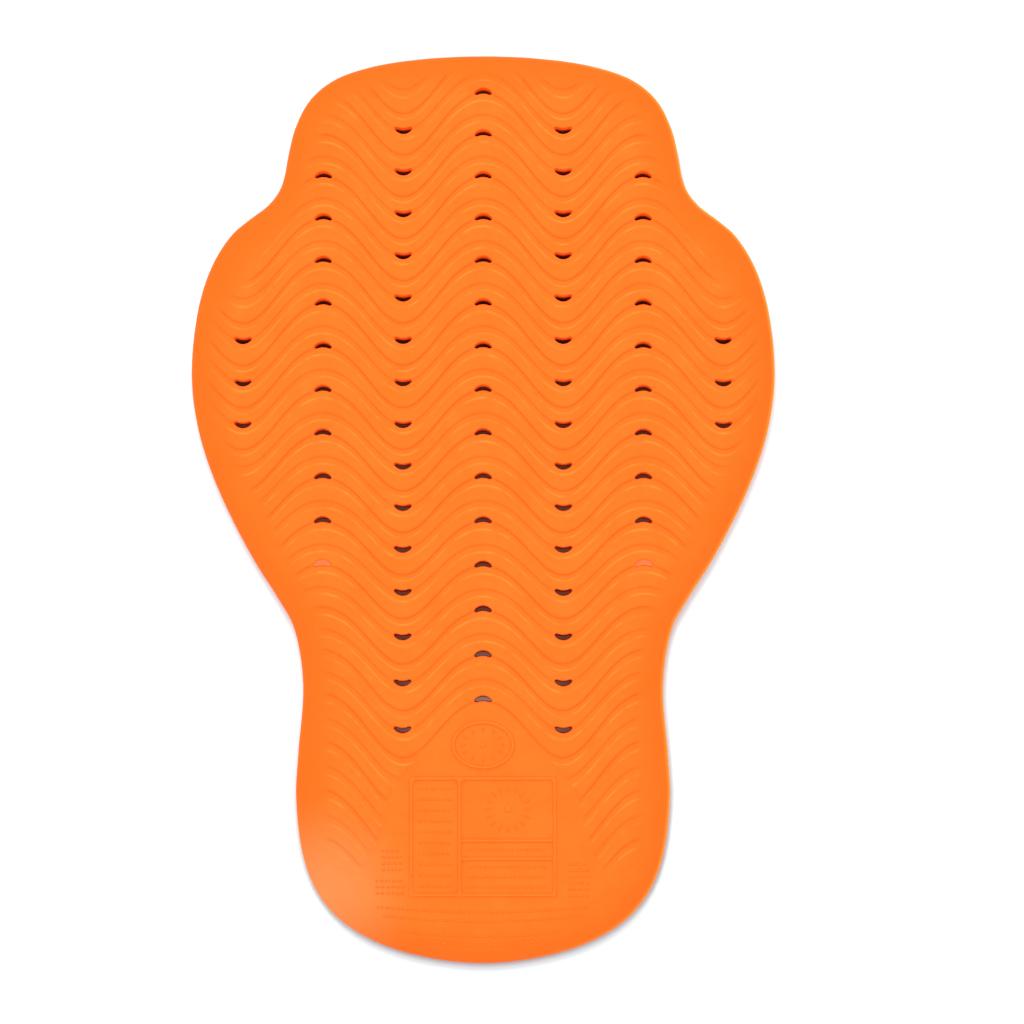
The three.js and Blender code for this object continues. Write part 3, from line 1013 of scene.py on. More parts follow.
    def close_back(self, grown: RingMesh, loops: list[np.ndarray]) -> None:
        """Closes the back face between the lowest rings.

        Args:
            grown: The mesh so far.
            loops: The numbers of the points of the pad's lowest ring, and then of each slot's.
        """
        numbers = np.concatenate(loops)
        ends = np.cumsum([len(loop) for loop in loops])
        rings = [list(range(end - len(loop), end)) for loop, end in zip(loops, ends)]
        edges = [(ring[i], ring[(i + 1) % len(ring)]) for ring in rings for i in range(len(ring))]
        _, faces, new_number = self.triangles(np.vstack(grown.points)[numbers], edges, rings)
        old_number = {new: old for old, new in new_number.items()}
        lookup = np.array([numbers[old_number[i]] for i in range(len(old_number))])
        grown.faces.append(lookup[faces][:, ::-1])

    def relief_tree(self) -> bpy.types.NodeTree:
        """Makes the tree that lifts the flat pad: rim, rolled edge, margin, ribs, bars, lips and crown."""
        names = ("Rim Height", "Edge Round", "Margin Width", "Core Height", "Crown Rise", "Rib Height",
                 "Bar Height", "Bar Width", "Lip Round", "Half Width", "Half Length")
        sizes = {name: "NodeSocketFloat" for name in names}
        tree, given = new_geometry_tree("pad_relief", {**sizes, "Material": "NodeSocketMaterial"})
        size = given.outputs
        add = partial(add_node, tree)
        read = {name: add("GeometryNodeInputNamedAttribute", {"Name": name}, data_type="FLOAT")
                for name in ("edge_inset", "rib_turn", "rib_strength", "zone_rise", "bar_gap", "lip_gap",
                             "height_share")}
        quarters = []
        for gap, reach in (("edge_inset", "Edge Round"), ("lip_gap", "Lip Round")):
            left = add("ShaderNodeMapRange", {
                "Value": read[gap], "From Max": size[reach], "To Min": 1.0, "To Max": 0.0})
            squared = add("ShaderNodeMath", (left, left), operation="MULTIPLY")
            rest = add("ShaderNodeMath", (1.0, squared), operation="SUBTRACT")
            quarters.append(add("ShaderNodeMath", (rest,), operation="SQRT"))
        roll, lip = quarters
        rolled = add("ShaderNodeMath", (roll, size["Edge Round"], size["Rim Height"]),
                     operation="MULTIPLY_ADD")
        climb_turn = add("ShaderNodeMapRange", {
            "Value": read["edge_inset"], "From Min": size["Edge Round"], "From Max": size["Margin Width"],
            "To Max": math.pi / 2})
        climb = add("ShaderNodeMath", (climb_turn,), operation="SINE")
        shoulder = add("ShaderNodeMath", (size["Rim Height"], size["Edge Round"]), operation="ADD")
        left_over = add("ShaderNodeMath", (size["Core Height"], shoulder), operation="SUBTRACT")
        core = add("ShaderNodeMath", (climb, left_over, rolled), operation="MULTIPLY_ADD")
        share = add("ShaderNodeMath", (read["rib_turn"],), operation="FRACT")
        section = shape_curve(add("ShaderNodeFloatCurve", {"Value": share}), RIB_SECTION)
        rib = add("ShaderNodeMath", (section, read["rib_strength"], read["zone_rise"]),
                  operation="MULTIPLY_ADD")
        ribbed = add("ShaderNodeMath", (rib, size["Rib Height"], core), operation="MULTIPLY_ADD")
        half_bar = add("ShaderNodeMath", (size["Bar Width"], 0.5), operation="MULTIPLY")
        bar_crest = add("ShaderNodeMath", (size["Bar Width"], self.bar_crest_share), operation="MULTIPLY")
        bar = add("ShaderNodeMapRange", {
            "Value": read["bar_gap"], "From Min": bar_crest, "From Max": half_bar, "To Min": 1.0,
            "To Max": 0.0}, interpolation_type="SMOOTHSTEP")
        barred = add("ShaderNodeMath", (bar, size["Bar Height"], ribbed), operation="MULTIPLY_ADD")
        lip_drop = add("ShaderNodeMath", (lip, 1.0), operation="SUBTRACT")
        lipped = add("ShaderNodeMath", (lip_drop, size["Lip Round"], barred), operation="MULTIPLY_ADD")
        height = add("ShaderNodeMath", (lipped, read["height_share"]), operation="MULTIPLY")
        axes = add("ShaderNodeSeparateXYZ", (add("GeometryNodeInputPosition"),)).outputs
        falls = []
        for axis, half in (("X", "Half Width"), ("Y", "Half Length")):
            part = add("ShaderNodeMath", (axes[axis], size[half]), operation="DIVIDE")
            squared = add("ShaderNodeMath", (part, part), operation="MULTIPLY")
            falls.append(add("ShaderNodeMath", (1.0, squared), operation="SUBTRACT", use_clamp=True))
        dome = add("ShaderNodeMath", tuple(falls), operation="MULTIPLY")
        crown = add("ShaderNodeMath", (size["Crown Rise"], dome), operation="MULTIPLY")
        per_height = add("ShaderNodeMath", (crown, size["Core Height"]), operation="DIVIDE")
        crowned = add("ShaderNodeMath", (per_height, height, height), operation="MULTIPLY_ADD")
        moved = add("ShaderNodeCombineXYZ", {"X": axes["X"], "Y": axes["Y"], "Z": crowned})
        lifted = add("GeometryNodeSetPosition", {"Geometry": size["Geometry"], "Position": moved})
        finish_geometry_tree(tree, lifted, size["Material"])
        return tree

    def build(self, material: bpy.types.Material) -> bpy.types.Object:
        """Builds the pad.

        Args:
            material: Its finish.

        Returns:
            The pad, as a plain mesh.
        """
        pad = self.flat_mesh()
        form = self.form
        run_tree(pad, self.relief_tree(), {
            "Rim Height": form.rim_height * MM,
            "Edge Round": form.edge_round * MM,
            "Margin Width": form.margin_width * MM,
            "Core Height": form.core_height * MM,
            "Crown Rise": form.crown_rise * MM,
            "Rib Height": self.waves.rib_height * MM,
            "Bar Height": self.zone.bar_height * MM,
            "Bar Width": self.zone.bar_width * MM,
            "Lip Round": self.slots.lip_round * MM,
            "Half Width": form.width / 2 * MM,
            "Half Length": form.length / 2 * MM,
            "Material": material,
        })
        pad.data.shade_smooth()
        pad.data.set_sharp_from_angle(angle=math.radians(self.sharp_angle))
        return pad


def face_outwards(piece: bpy.types.Object) -> None:
    """Turns the faces of a closed mesh outwards."""
    work = bmesh.new()
    work.from_mesh(piece.data)
    bmesh.ops.recalc_face_normals(work, faces=work.faces)
    work.to_mesh(piece.data)
    work.free()


@dataclass
class SlotFilms:
    """Thin films of moulding flash that close two of the vent slots, in millimetres."""

    pad: MouldedPad
    name: str = "slot_flash"
    below_skin: float = 0.75
    thickness: float = 0.5
    overlap: float = 0.06
    dish: float = 0.18
    ring_shares: tuple = (1.0, 0.93, 0.75, 0.45)
    skin_reach: float = 1.0

    def film(self, middle: np.ndarray, top: float, outline: np.ndarray) -> tuple[np.ndarray, list]:
        """Lays out one film, dished on both sides, so that it is thinnest in its middle.

        Args:
            middle: The slot's middle.
            top: The level of the film's upper edge.
            outline: The film's outline.

        Returns:
            The points, ring by ring from the top to the bottom and then both middles, and the faces.
        """
        bottom = top - self.thickness
        dished = [(share, self.dish * (1 - share ** 2)) for share in self.ring_shares]
        profile = [(share, top - sag) for share, sag in reversed(dished)]
        profile += [(share, bottom + sag) for share, sag in dished]
        rings = [np.column_stack([middle + (outline - middle) * share, np.full(len(outline), level)])
                 for share, level in profile]
        ends = [(*middle, top - self.dish), (*middle, bottom + self.dish)]
        sides = len(outline)
        last = sides * (len(profile) - 1)
        faces = []
        for k in range(sides):
            n = (k + 1) % sides
            faces += [(ring + k, ring + n, ring + sides + n, ring + sides + k)
                      for ring in range(0, last, sides)]
            faces += [(last + sides, n, k), (last + sides + 1, last + k, last + n)]
        return np.vstack([*rings, ends]), faces

    def build(self, skin: bpy.types.Object, material: bpy.types.Material) -> bpy.types.Object:
        """Builds the films, a little under the skin round their slots.

        Args:
            skin: The finished pad.
            material: Their finish.

        Returns:
            One object that holds all the films.
        """
        skin_points = np.array([v.co for v in skin.data.vertices]) / MM
        reach = self.pad.slots.width / 2 + self.skin_reach
        points, faces = np.empty((0, 3)), []
        for (x, y, _, closed), rings in zip(self.pad.places, self.pad.rings):
            if not closed:
                continue
            near = np.abs(skin_points[:, :2] - (x, y)).max(axis=1) < reach
            top = float(skin_points[near, 2].max()) - self.below_skin
            more, joined = self.film(np.array([x, y]), top, inset_loop(rings[0], -self.overlap))
            faces += [tuple(i + len(points) for i in face) for face in joined]
            points = np.vstack([points, more])
        piece = mesh_object(self.name, points, faces, {})
        piece.data.materials.append(material)
        face_outwards(piece)
        piece.data.shade_smooth()
        return piece


@dataclass
class RaisedMarks:
    """Rows of plain dots, dashes and ticks that stand where moulded print would be, in millimetres."""

    zone: LabelZone
    name: str = "raised_marks"
    height: float = 0.45
    dash_halves: tuple = (0.4, 1.3)
    dash_gap: float = 0.7
    least_dash: float = 1.0
    line_gap: float = 3.0
    block_half_width: float = 0.5
    hanging_half_width: float = 0.55
    hanging_sag: float = 2.6
    cast_height: float = 50.0
    chance: np.random.Generator = field(default_factory=lambda: np.random.default_rng(11))
    rows: list = field(default_factory=list)

    def add_row(self, left: float, right: float, y: float, half_width: float, sag: float = 0.0) -> None:
        """Fills a straight or gently sagging row with dashes of many lengths.

        Args:
            left: Where the row starts.
            right: Where it ends.
            y: Its height on the pad at its ends.
            half_width: Half the width of a dash.
            sag: How far the middle of the row hangs below its ends.
        """
        x = left
        while x < right - self.least_dash:
            half = min(self.chance.uniform(*self.dash_halves), (right - x) / 2)
            share = (x + half - left) / (right - left)
            dip = sag * 4 * share * (1 - share)
            angle = math.atan(sag * 4 * (2 * share - 1) / (right - left))
            self.rows.append((x + half, y - dip, angle, half, half_width))
            x += 2 * half + self.dash_gap

    def add_box(self, left: float, right: float, foot: float, rows: tuple) -> None:
        """Fills a part of the panel with rows.

        Args:
            left: The part's left side.
            right: Its right side.
            foot: Its lower side.
            rows: What COLUMN_ROWS, STRIP_ROWS and FOOT_ROWS say of theirs.
        """
        from_left, from_right, first, gap, count, half_width = rows
        for k in range(count):
            self.add_row(left + from_left, right - from_right, foot + first + k * gap, half_width)

    def add_block(self, middle: tuple, width: float, lines: int) -> None:
        """Adds a small block of rows.

        Args:
            middle: The block's middle.
            width: Its width.
            lines: The number of rows.
        """
        for k in range(lines):
            y = middle[1] + (k - (lines - 1) / 2) * self.line_gap
            self.add_row(middle[0] - width / 2, middle[0] + width / 2, y, self.block_half_width)

    def add_dial(self, middle: tuple, dial: tuple) -> None:
        """Adds ticks that point at a middle, and a dot on it.

        Args:
            middle: The dial's middle.
            dial: What RING_DIAL and PANEL_DIAL say of theirs.
        """
        across, up, count, half_length, half_width = dial
        for k in range(count):
            angle = 2 * math.pi * k / count
            x = middle[0] + across * math.cos(angle)
            y = middle[1] + up * math.sin(angle)
            self.rows.append((x, y, angle, half_length, half_width))
        self.rows.append((*middle, 0.0, half_length, half_length))

    def lay_out(self) -> None:
        """Lays out every mark on the label zone."""
        zone = self.zone
        low, right = zone.panel_bottom, zone.panel_width / 2
        top = low + zone.panel_height
        column, row = -right + zone.panel_column, top - zone.panel_row
        self.add_dial((0.0, zone.boss_y), RING_DIAL)
        self.add_box(-right, column, low, COLUMN_ROWS)
        self.add_dial(((column + right) / 2, (row + top) / 2), PANEL_DIAL)
        self.add_box(column, right, row - zone.panel_strip / 2, STRIP_ROWS)
        self.add_box(column, right, low, FOOT_ROWS)
        for x, up, width, lines in SIDE_BLOCKS:
            self.add_block((x, low + up), width, lines)
        for drop, half in HANGING_ROWS:
            self.add_row(-half, half, low - drop, self.hanging_half_width, self.hanging_sag)

    def marks_tree(self) -> bpy.types.NodeTree:
        """Makes the tree that seats a low bead on the skin at every point."""
        sizes = {"Skin": "NodeSocketObject", "Height": "NodeSocketFloat", "Material": "NodeSocketMaterial"}
        tree, given = new_geometry_tree("raised_marks", sizes)
        add = partial(add_node, tree)
        above = self.cast_height * MM
        skin = add("GeometryNodeObjectInfo", {"Object": given.outputs["Skin"]})
        lift = add("ShaderNodeVectorMath", (add("GeometryNodeInputPosition"), (0, 0, above)),
                   operation="ADD")
        hit = add("GeometryNodeRaycast", {
            "Target Geometry": skin.outputs["Geometry"], "Source Position": lift,
            "Ray Direction": (0, 0, -1), "Ray Length": 2 * above})
        seated = add("GeometryNodeSetPosition", {
            "Geometry": given.outputs["Geometry"], "Position": hit.outputs["Hit Position"]})
        bead = add("GeometryNodeMeshUVSphere", {"Segments": 10, "Rings": 6, "Radius": 1.0})
        turn = add("GeometryNodeInputNamedAttribute", {"Name": "turn"}, data_type="FLOAT")
        turned = add("FunctionNodeEulerToRotation", (add("ShaderNodeCombineXYZ", {"Z": turn}),))
        size = add("GeometryNodeInputNamedAttribute", {"Name": "mark_size"}, data_type="FLOAT_VECTOR")
        tall = add("ShaderNodeCombineXYZ", {"X": 1.0, "Y": 1.0, "Z": given.outputs["Height"]})
        scale = add("ShaderNodeVectorMath", (size, tall), operation="MULTIPLY")
        beads = add("GeometryNodeInstanceOnPoints", {
            "Points": seated, "Instance": bead, "Rotation": turned, "Scale": scale})
        finish_geometry_tree(tree, beads, given.outputs["Material"])
        return tree

    def build(self, skin: bpy.types.Object, material: bpy.types.Material) -> bpy.types.Object:
        """Builds the marks on the finished pad.

        Args:
            skin: The finished pad.
            material: Their finish.

        Returns:
            One object that holds all the marks.
        """
        self.lay_out()
        table = np.array(self.rows)
        points = np.column_stack([table[:, :2], np.zeros(len(table))])
        sizes = np.column_stack([table[:, 3] * MM, table[:, 4] * MM, np.ones(len(table))])
        piece = mesh_object(self.name, points, [], {"turn": table[:, 2], "mark_size": sizes})
        run_tree(piece, self.marks_tree(), {"Skin": skin, "Height": self.height * MM, "Material": material})
        piece.data.shade_smooth()
        return piece


@dataclass(frozen=True)
class MouldedFoamSkin:
    """Soft polyurethane foam cast in a mould: an even satin orange, mottled, with painted shade in the
    creases.

    Paler lines along the ribs are painted highlights, and a painted sheen makes one corner paler. The
    upper part of a slot's wall is painted lighter and given a faint painted glow, for light that comes
    through the foam, before painted shade turns the slot dark. The back face is plain foam. Sizes and
    places are in millimetres.
    """

    name: str = "moulded_polyurethane_foam"
    colour: str = "#F46719"
    light_colour: str = "#F76D1F"
    mottle_size: float = 16.0
    mottle_range: tuple = (0.35, 0.68)
    # Painted shade: the creases' colour stands in for the shade that falls in them
    crease_shade_colour: str = "#EE4A02"
    crease_shade_share: float = 0.2
    bar_shade_and_highlight_share: float = 0.2
    # Painted highlight: paler lines along the ribs' upper edges stand in for light caught there
    highlight_colour: str = "#FF8A34"
    highlight_share: float = 0.42
    fleck_size: float = 7.0
    fleck_range: tuple = (0.36, 0.62)
    fleck_shares: tuple = (0.1, 1.5)
    margin_colour: str = "#F15E0F"
    margin_range: tuple = (4.0, 20.0)
    margin_share: float = 0.75
    # Painted highlight: the top of the rolled rim is paler on the sides, for light caught there
    rim_highlight_colour: str = "#FF8A24"
    rim_width: float = 1.9
    rim_sideways: tuple = (20.0, 90.0)
    rim_upwards: tuple = (3.0, 4.6)
    # Painted sheen: a soft paler patch near the lower left end stands in for a broad reflection
    sheen_colour: str = "#F9955E"
    sheen_place: tuple = (-78.0, -187.0, 8.0)
    sheen_reach: float = 52.0
    sheen_share: float = 0.45
    # Painted light: the upper part of a slot's wall is painted lighter, as if lit
    wall_light_colour: str = "#F8700F"
    wall_light_depths: tuple = (0.05, 0.4)
    # Painted shade: deep in a slot the wall turns dark, for the shade in the hole
    hollow_shade_colour: str = "#1E0803"
    hollow_shade_depths: tuple = (0.35, 1.0)
    # Painted glow: the slot walls emit a little light, stronger towards the neck end, for light through the
    # foam
    painted_glow_colour: str = "#FF7A28"
    painted_glow_range: tuple = (-40.0, 60.0)
    back_range: tuple = (0.05, 0.4)
    roughness: float = 0.36
    roughness_range: tuple = (0.3, 0.7)
    smoother: float = 0.05
    rougher: float = 0.07
    ior: float = 1.5
    specular: float = 0.1
    grain_size: float = 1.1
    grain_height: float = 0.09
    streak_length: float = 26.0
    streaks_per_rib: float = 7.0
    streak_height: float = 0.06

    def rib_masks(self, tree: bpy.types.NodeTree, read: dict) -> list[bpy.types.Node]:
        """Makes the masks of the painted crease shade and painted edge highlights, on the ribs and beside
        the bars.

        Args:
            tree: The material's tree.
            read: The sockets that the finish reads, by name.

        Returns:
            The creases' mask and the edges' mask.
        """
        add = partial(add_node, tree)
        share = add("ShaderNodeMath", (read["rib_turn"],), operation="FRACT")
        rib_tone = shape_curve(add("ShaderNodeFloatCurve", {"Value": share}), RIB_TONE)
        from_bar = add("ShaderNodeMath", (read["bar_gap"], 1 / (BAR_TONE_REACH * MM)),
                       operation="MULTIPLY", use_clamp=True)
        bar_tone = shape_curve(add("ShaderNodeFloatCurve", {"Value": from_bar}), BAR_TONE)
        fleck = add("ShaderNodeTexNoise", {
            "Vector": read["place"], "Scale": 1 / (self.fleck_size * MM), "Detail": 3.0})
        # Noise that breaks up the painted highlights along the edges
        highlight_breaks = add("ShaderNodeMapRange", {
            "Value": fleck.outputs["Fac"], "From Min": self.fleck_range[0], "From Max": self.fleck_range[1],
            "To Min": self.fleck_shares[0], "To Max": self.fleck_shares[1]})
        rib_highlight_strength = add("ShaderNodeMath", (highlight_breaks, read["rib_strength"]), operation="MULTIPLY")
        masks = []
        for tone, most, strength in (
                (0.0, self.crease_shade_share, read["rib_strength"]), (1.0, self.highlight_share, rib_highlight_strength)):
            on_rib = add("ShaderNodeMapRange", {
                "Value": rib_tone, "From Min": 0.5, "From Max": tone, "To Max": most})
            # Painted shade and painted highlight beside the moulded bars
            on_bar = add("ShaderNodeMapRange", {
                "Value": bar_tone, "From Min": 0.5, "From Max": tone, "To Max": self.bar_shade_and_highlight_share})
            kept = add("ShaderNodeMath", (on_rib, strength), operation="MULTIPLY")
            masks.append(add("ShaderNodeMath", (kept, on_bar), operation="MAXIMUM"))
        return masks

    def place_masks(self, tree: bpy.types.NodeTree, read: dict) -> list[bpy.types.Node]:
        """Makes the masks of the margin, the rim's painted highlight, the painted sheen, the slots' walls
        with their painted light, and the painted shade of their depths.

        Args:
            tree: The material's tree.
            read: The sockets that the finish reads, by name.

        Returns:
            The masks, in that order.
        """
        add = partial(add_node, tree)
        far = add("ShaderNodeVectorMath", (read["place"], Vector(self.sheen_place) * MM),
                  operation="DISTANCE")
        inset = read["edge_inset"]
        ranges = {
            "margin": (inset, [v * MM for v in self.margin_range], (self.margin_share, 0.0)),
            # Painted highlight along the rim
            "rim": (inset, (0.0, self.rim_width * MM), (1.0, 0.0)),
            "sideways": (read["X"], [v * MM for v in self.rim_sideways], (0.0, 1.0)),
            "upwards": (read["Z"], [v * MM for v in self.rim_upwards], (0.0, 1.0)),
            # Painted light on the upper part of a slot's wall
            "wall": (read["slot_depth"], self.wall_light_depths, (0.0, 1.0)),
            # Painted shade deep in a slot
            "hollow": (read["slot_depth"], self.hollow_shade_depths, (0.0, 1.0)),
        }
        made = {name: add("ShaderNodeMapRange", {
            "Value": value, "From Min": start[0], "From Max": start[1], "To Min": end[0], "To Max": end[1]})
            for name, (value, start, end) in ranges.items()}
        # Painted sheen near the lower left end
        made["painted_sheen"] = add("ShaderNodeMapRange", {
            "Value": far.outputs["Value"], "From Max": self.sheen_reach * MM, "To Min": self.sheen_share,
            "To Max": 0.0}, interpolation_type="SMOOTHSTEP")
        for name, other in (("margin", read["off_back"]), ("painted_sheen", read["off_back"]),
                            ("rim", made["upwards"]), ("rim", made["sideways"])):
            made[name] = add("ShaderNodeMath", (made[name], other), operation="MULTIPLY")
        return [made[name] for name in ("margin", "rim", "painted_sheen", "wall", "hollow")]

    def relief(self, tree: bpy.types.NodeTree, read: dict) -> bpy.types.Node:
        """Makes the fine grain of the skin, and the faint streaks where foam ran along the ribs.

        Args:
            tree: The material's tree.
            read: The sockets that the finish reads, by name.

        Returns:
            The node that gives the bumped normal.
        """
        add = partial(add_node, tree)
        along = add("ShaderNodeMath", (read["X"], 1 / (self.streak_length * MM)), operation="MULTIPLY")
        across = add("ShaderNodeMath", (read["rib_turn"], self.streaks_per_rib), operation="MULTIPLY")
        flow = add("ShaderNodeCombineXYZ", {"X": along, "Y": across})
        streak = add("ShaderNodeTexNoise", {
            "Vector": flow, "Scale": 1.0, "Detail": 3.0, "Roughness": 0.55})
        grain = add("ShaderNodeTexNoise", {
            "Vector": read["place"], "Scale": 1 / (self.grain_size * MM), "Detail": 3.0})
        bump = add("ShaderNodeBump", {
            "Height": grain.outputs["Fac"], "Strength": 1.0, "Distance": self.grain_height * MM})
        return add("ShaderNodeBump", {
            "Height": streak.outputs["Fac"], "Strength": read["off_back"],
            "Distance": self.streak_height * MM, "Normal": bump})

    def make(self) -> bpy.types.Material:
        """Makes the material.

        Returns:
            A material that reads Object coordinates and the pad's own attributes.
        """
        material, tree = new_material(self.name)
        add = partial(add_node, tree)
        read = {name: add("ShaderNodeAttribute", attribute_name=name).outputs["Fac"]
                for name in ("rib_turn", "rib_strength", "edge_inset", "slot_depth", "bar_gap")}
        read["place"] = add("ShaderNodeTexCoord").outputs["Object"]
        read.update(add("ShaderNodeSeparateXYZ", (read["place"],)).outputs.items())
        read["off_back"] = add("ShaderNodeMapRange", {
            "Value": read["Z"], "From Min": self.back_range[0] * MM, "From Max": self.back_range[1] * MM})
        for name in ("rib_strength", "slot_depth"):
            read[name] = add("ShaderNodeMath", (read[name], read["off_back"]), operation="MULTIPLY")
        mottle = add("ShaderNodeTexNoise", {
            "Vector": read["place"], "Scale": 1 / (self.mottle_size * MM), "Detail": 8.0,
            "Roughness": 0.72})
        mottled = add("ShaderNodeMapRange", {
            "Value": mottle.outputs["Fac"], "From Min": self.mottle_range[0],
            "From Max": self.mottle_range[1]})
        colour = linear(self.colour)
        masks = [mottled, *self.rib_masks(tree, read), *self.place_masks(tree, read)]
        tones = (self.light_colour, self.crease_shade_colour, self.highlight_colour, self.margin_colour,
                 self.rim_highlight_colour, self.sheen_colour, self.wall_light_colour, self.hollow_shade_colour)
        for mask, tone in zip(masks, tones):
            colour = add("ShaderNodeMix", {"Factor": mask, "A": colour, "B": linear(tone)},
                         data_type="RGBA").outputs["Result"]
        gloss = add("ShaderNodeMapRange", {
            "Value": mottle.outputs["Fac"], "From Min": self.roughness_range[0],
            "From Max": self.roughness_range[1], "To Min": self.roughness - self.smoother,
            "To Max": self.roughness + self.rougher})
        neckwards = add("ShaderNodeMapRange", {
            "Value": read["Y"], "From Min": self.painted_glow_range[0] * MM, "From Max": self.painted_glow_range[1] * MM})
        # Painted glow on the slot walls
        through = shape_curve(add("ShaderNodeFloatCurve", {"Value": read["slot_depth"]}), PAINTED_WALL_GLOW)
        painted_glow = add("ShaderNodeMath", (through, neckwards), operation="MULTIPLY")
        shader = add("ShaderNodeBsdfPrincipled", {
            "Base Color": colour, "Roughness": gloss, "Normal": self.relief(tree, read), "IOR": self.ior,
            "Specular IOR Level": self.specular, "Emission Color": linear(self.painted_glow_colour),
            "Emission Strength": painted_glow})
        add("ShaderNodeOutputMaterial", {"Surface": shader})
        return material


@dataclass(frozen=True)
class FoamFlash:
    """The same foam in a thin film or a small relief: duller, finely grained and without the ribs' tones."""

    name: str = "thin_polyurethane_flash"
    colour: str = "#E77238"
    dark_colour: str = "#DD6630"
    roughness: float = 0.55
    ior: float = 1.5
    specular: float = 0.25
    grain_size: float = 0.8
    grain_height: float = 0.05

    def make(self) -> bpy.types.Material:
        """Makes the material.

        Returns:
            A material that reads Object coordinates.
        """
        material, tree = new_material(self.name)
        add = partial(add_node, tree)
        place = add("ShaderNodeTexCoord").outputs["Object"]
        grain = add("ShaderNodeTexNoise", {"Vector": place, "Scale": 1 / (self.grain_size * MM)})
        tone = add("ShaderNodeMix", {
            "Factor": grain.outputs["Fac"], "A": linear(self.dark_colour), "B": linear(self.colour)},
            data_type="RGBA")
        bump = add("ShaderNodeBump", {
            "Height": grain.outputs["Fac"], "Distance": self.grain_height * MM})
        shader = add("ShaderNodeBsdfPrincipled", {
            "Base Color": tone.outputs["Result"], "Roughness": self.roughness, "Normal": bump,
            "IOR": self.ior, "Specular IOR Level": self.specular})
        add("ShaderNodeOutputMaterial", {"Surface": shader})
        return material


@dataclass(frozen=True)
class StudioFloor:
    """Matt sweep paper: a cool white, with a warm brown shade where the pad covers it.

    Away from the light its shadow is deepened, and under the lower slots a painted glow stands in for the
    light that leaks in and makes it paler. Places are in millimetres.
    """

    name: str = "matt_white_paper"
    colour: str = "#E4F5F7"
    roughness: float = 0.9
    specular: float = 0.2
    shadow_colour: str = "#566870"
    shadow_share: float = 0.55
    shadow_way: tuple = (0.35, -1.0, 0.0)
    shadow_range: tuple = (40.0, 200.0)
    shade_colour: str = "#6A3A30"
    # Painted glow under the pad, for light that leaks in through the slots, paler near the lowest middle
    # slot
    painted_glow_colour: str = "#5E342A"
    painted_glow_range: tuple = (85.0, -15.0)
    leak_colour: str = "#95766F"
    leak_place: tuple = (0.0, -107.0, 0.0)
    leak_reach: tuple = (8.0, 48.0)

    def make(self) -> bpy.types.Material:
        """Makes the material.

        Returns:
            A material that reads Object coordinates, how near the pad is and how far it covers the paper.
        """
        material, tree = new_material(self.name)
        add = partial(add_node, tree)
        place = add("ShaderNodeTexCoord").outputs["Object"]
        y = add("ShaderNodeSeparateXYZ", (place,)).outputs["Y"]
        covered, contact = (add("ShaderNodeAttribute", attribute_name=name).outputs["Fac"]
                            for name in ("covered", "contact"))
        away = add("ShaderNodeVectorMath", (place, self.shadow_way), operation="DOT_PRODUCT")
        far = add("ShaderNodeVectorMath", (place, Vector(self.leak_place) * MM), operation="DISTANCE")
        ranges = (
            (away.outputs["Value"], self.shadow_range, (0.0, self.shadow_share)),
            (y, self.painted_glow_range, (0.0, 1.0)),
            (far.outputs["Value"], self.leak_reach, (1.0, 0.0)),
        )
        lee, waistwards, leak = (add("ShaderNodeMapRange", {
            "Value": value, "From Min": start[0] * MM, "From Max": start[1] * MM, "To Min": end[0],
            "To Max": end[1]}) for value, start, end in ranges)
        deeper = add("ShaderNodeMath", (lee, contact), operation="MULTIPLY")
        painted_glow = add("ShaderNodeMath", (waistwards, covered), operation="MULTIPLY")
        colour = linear(self.colour)
        for mask, tone in ((deeper, self.shadow_colour), (covered, self.shade_colour)):
            colour = add("ShaderNodeMix", {"Factor": mask, "A": colour, "B": linear(tone)},
                         data_type="RGBA").outputs["Result"]
        # Painted glow under the pad
        tint = add("ShaderNodeMix", {
            "Factor": leak, "A": linear(self.painted_glow_colour), "B": linear(self.leak_colour)}, data_type="RGBA")
        shader = add("ShaderNodeBsdfPrincipled", {
            "Base Color": colour, "Roughness": self.roughness, "Specular IOR Level": self.specular,
            "Emission Color": tint.outputs["Result"], "Emission Strength": painted_glow})
        add("ShaderNodeOutputMaterial", {"Surface": shader})
        return material


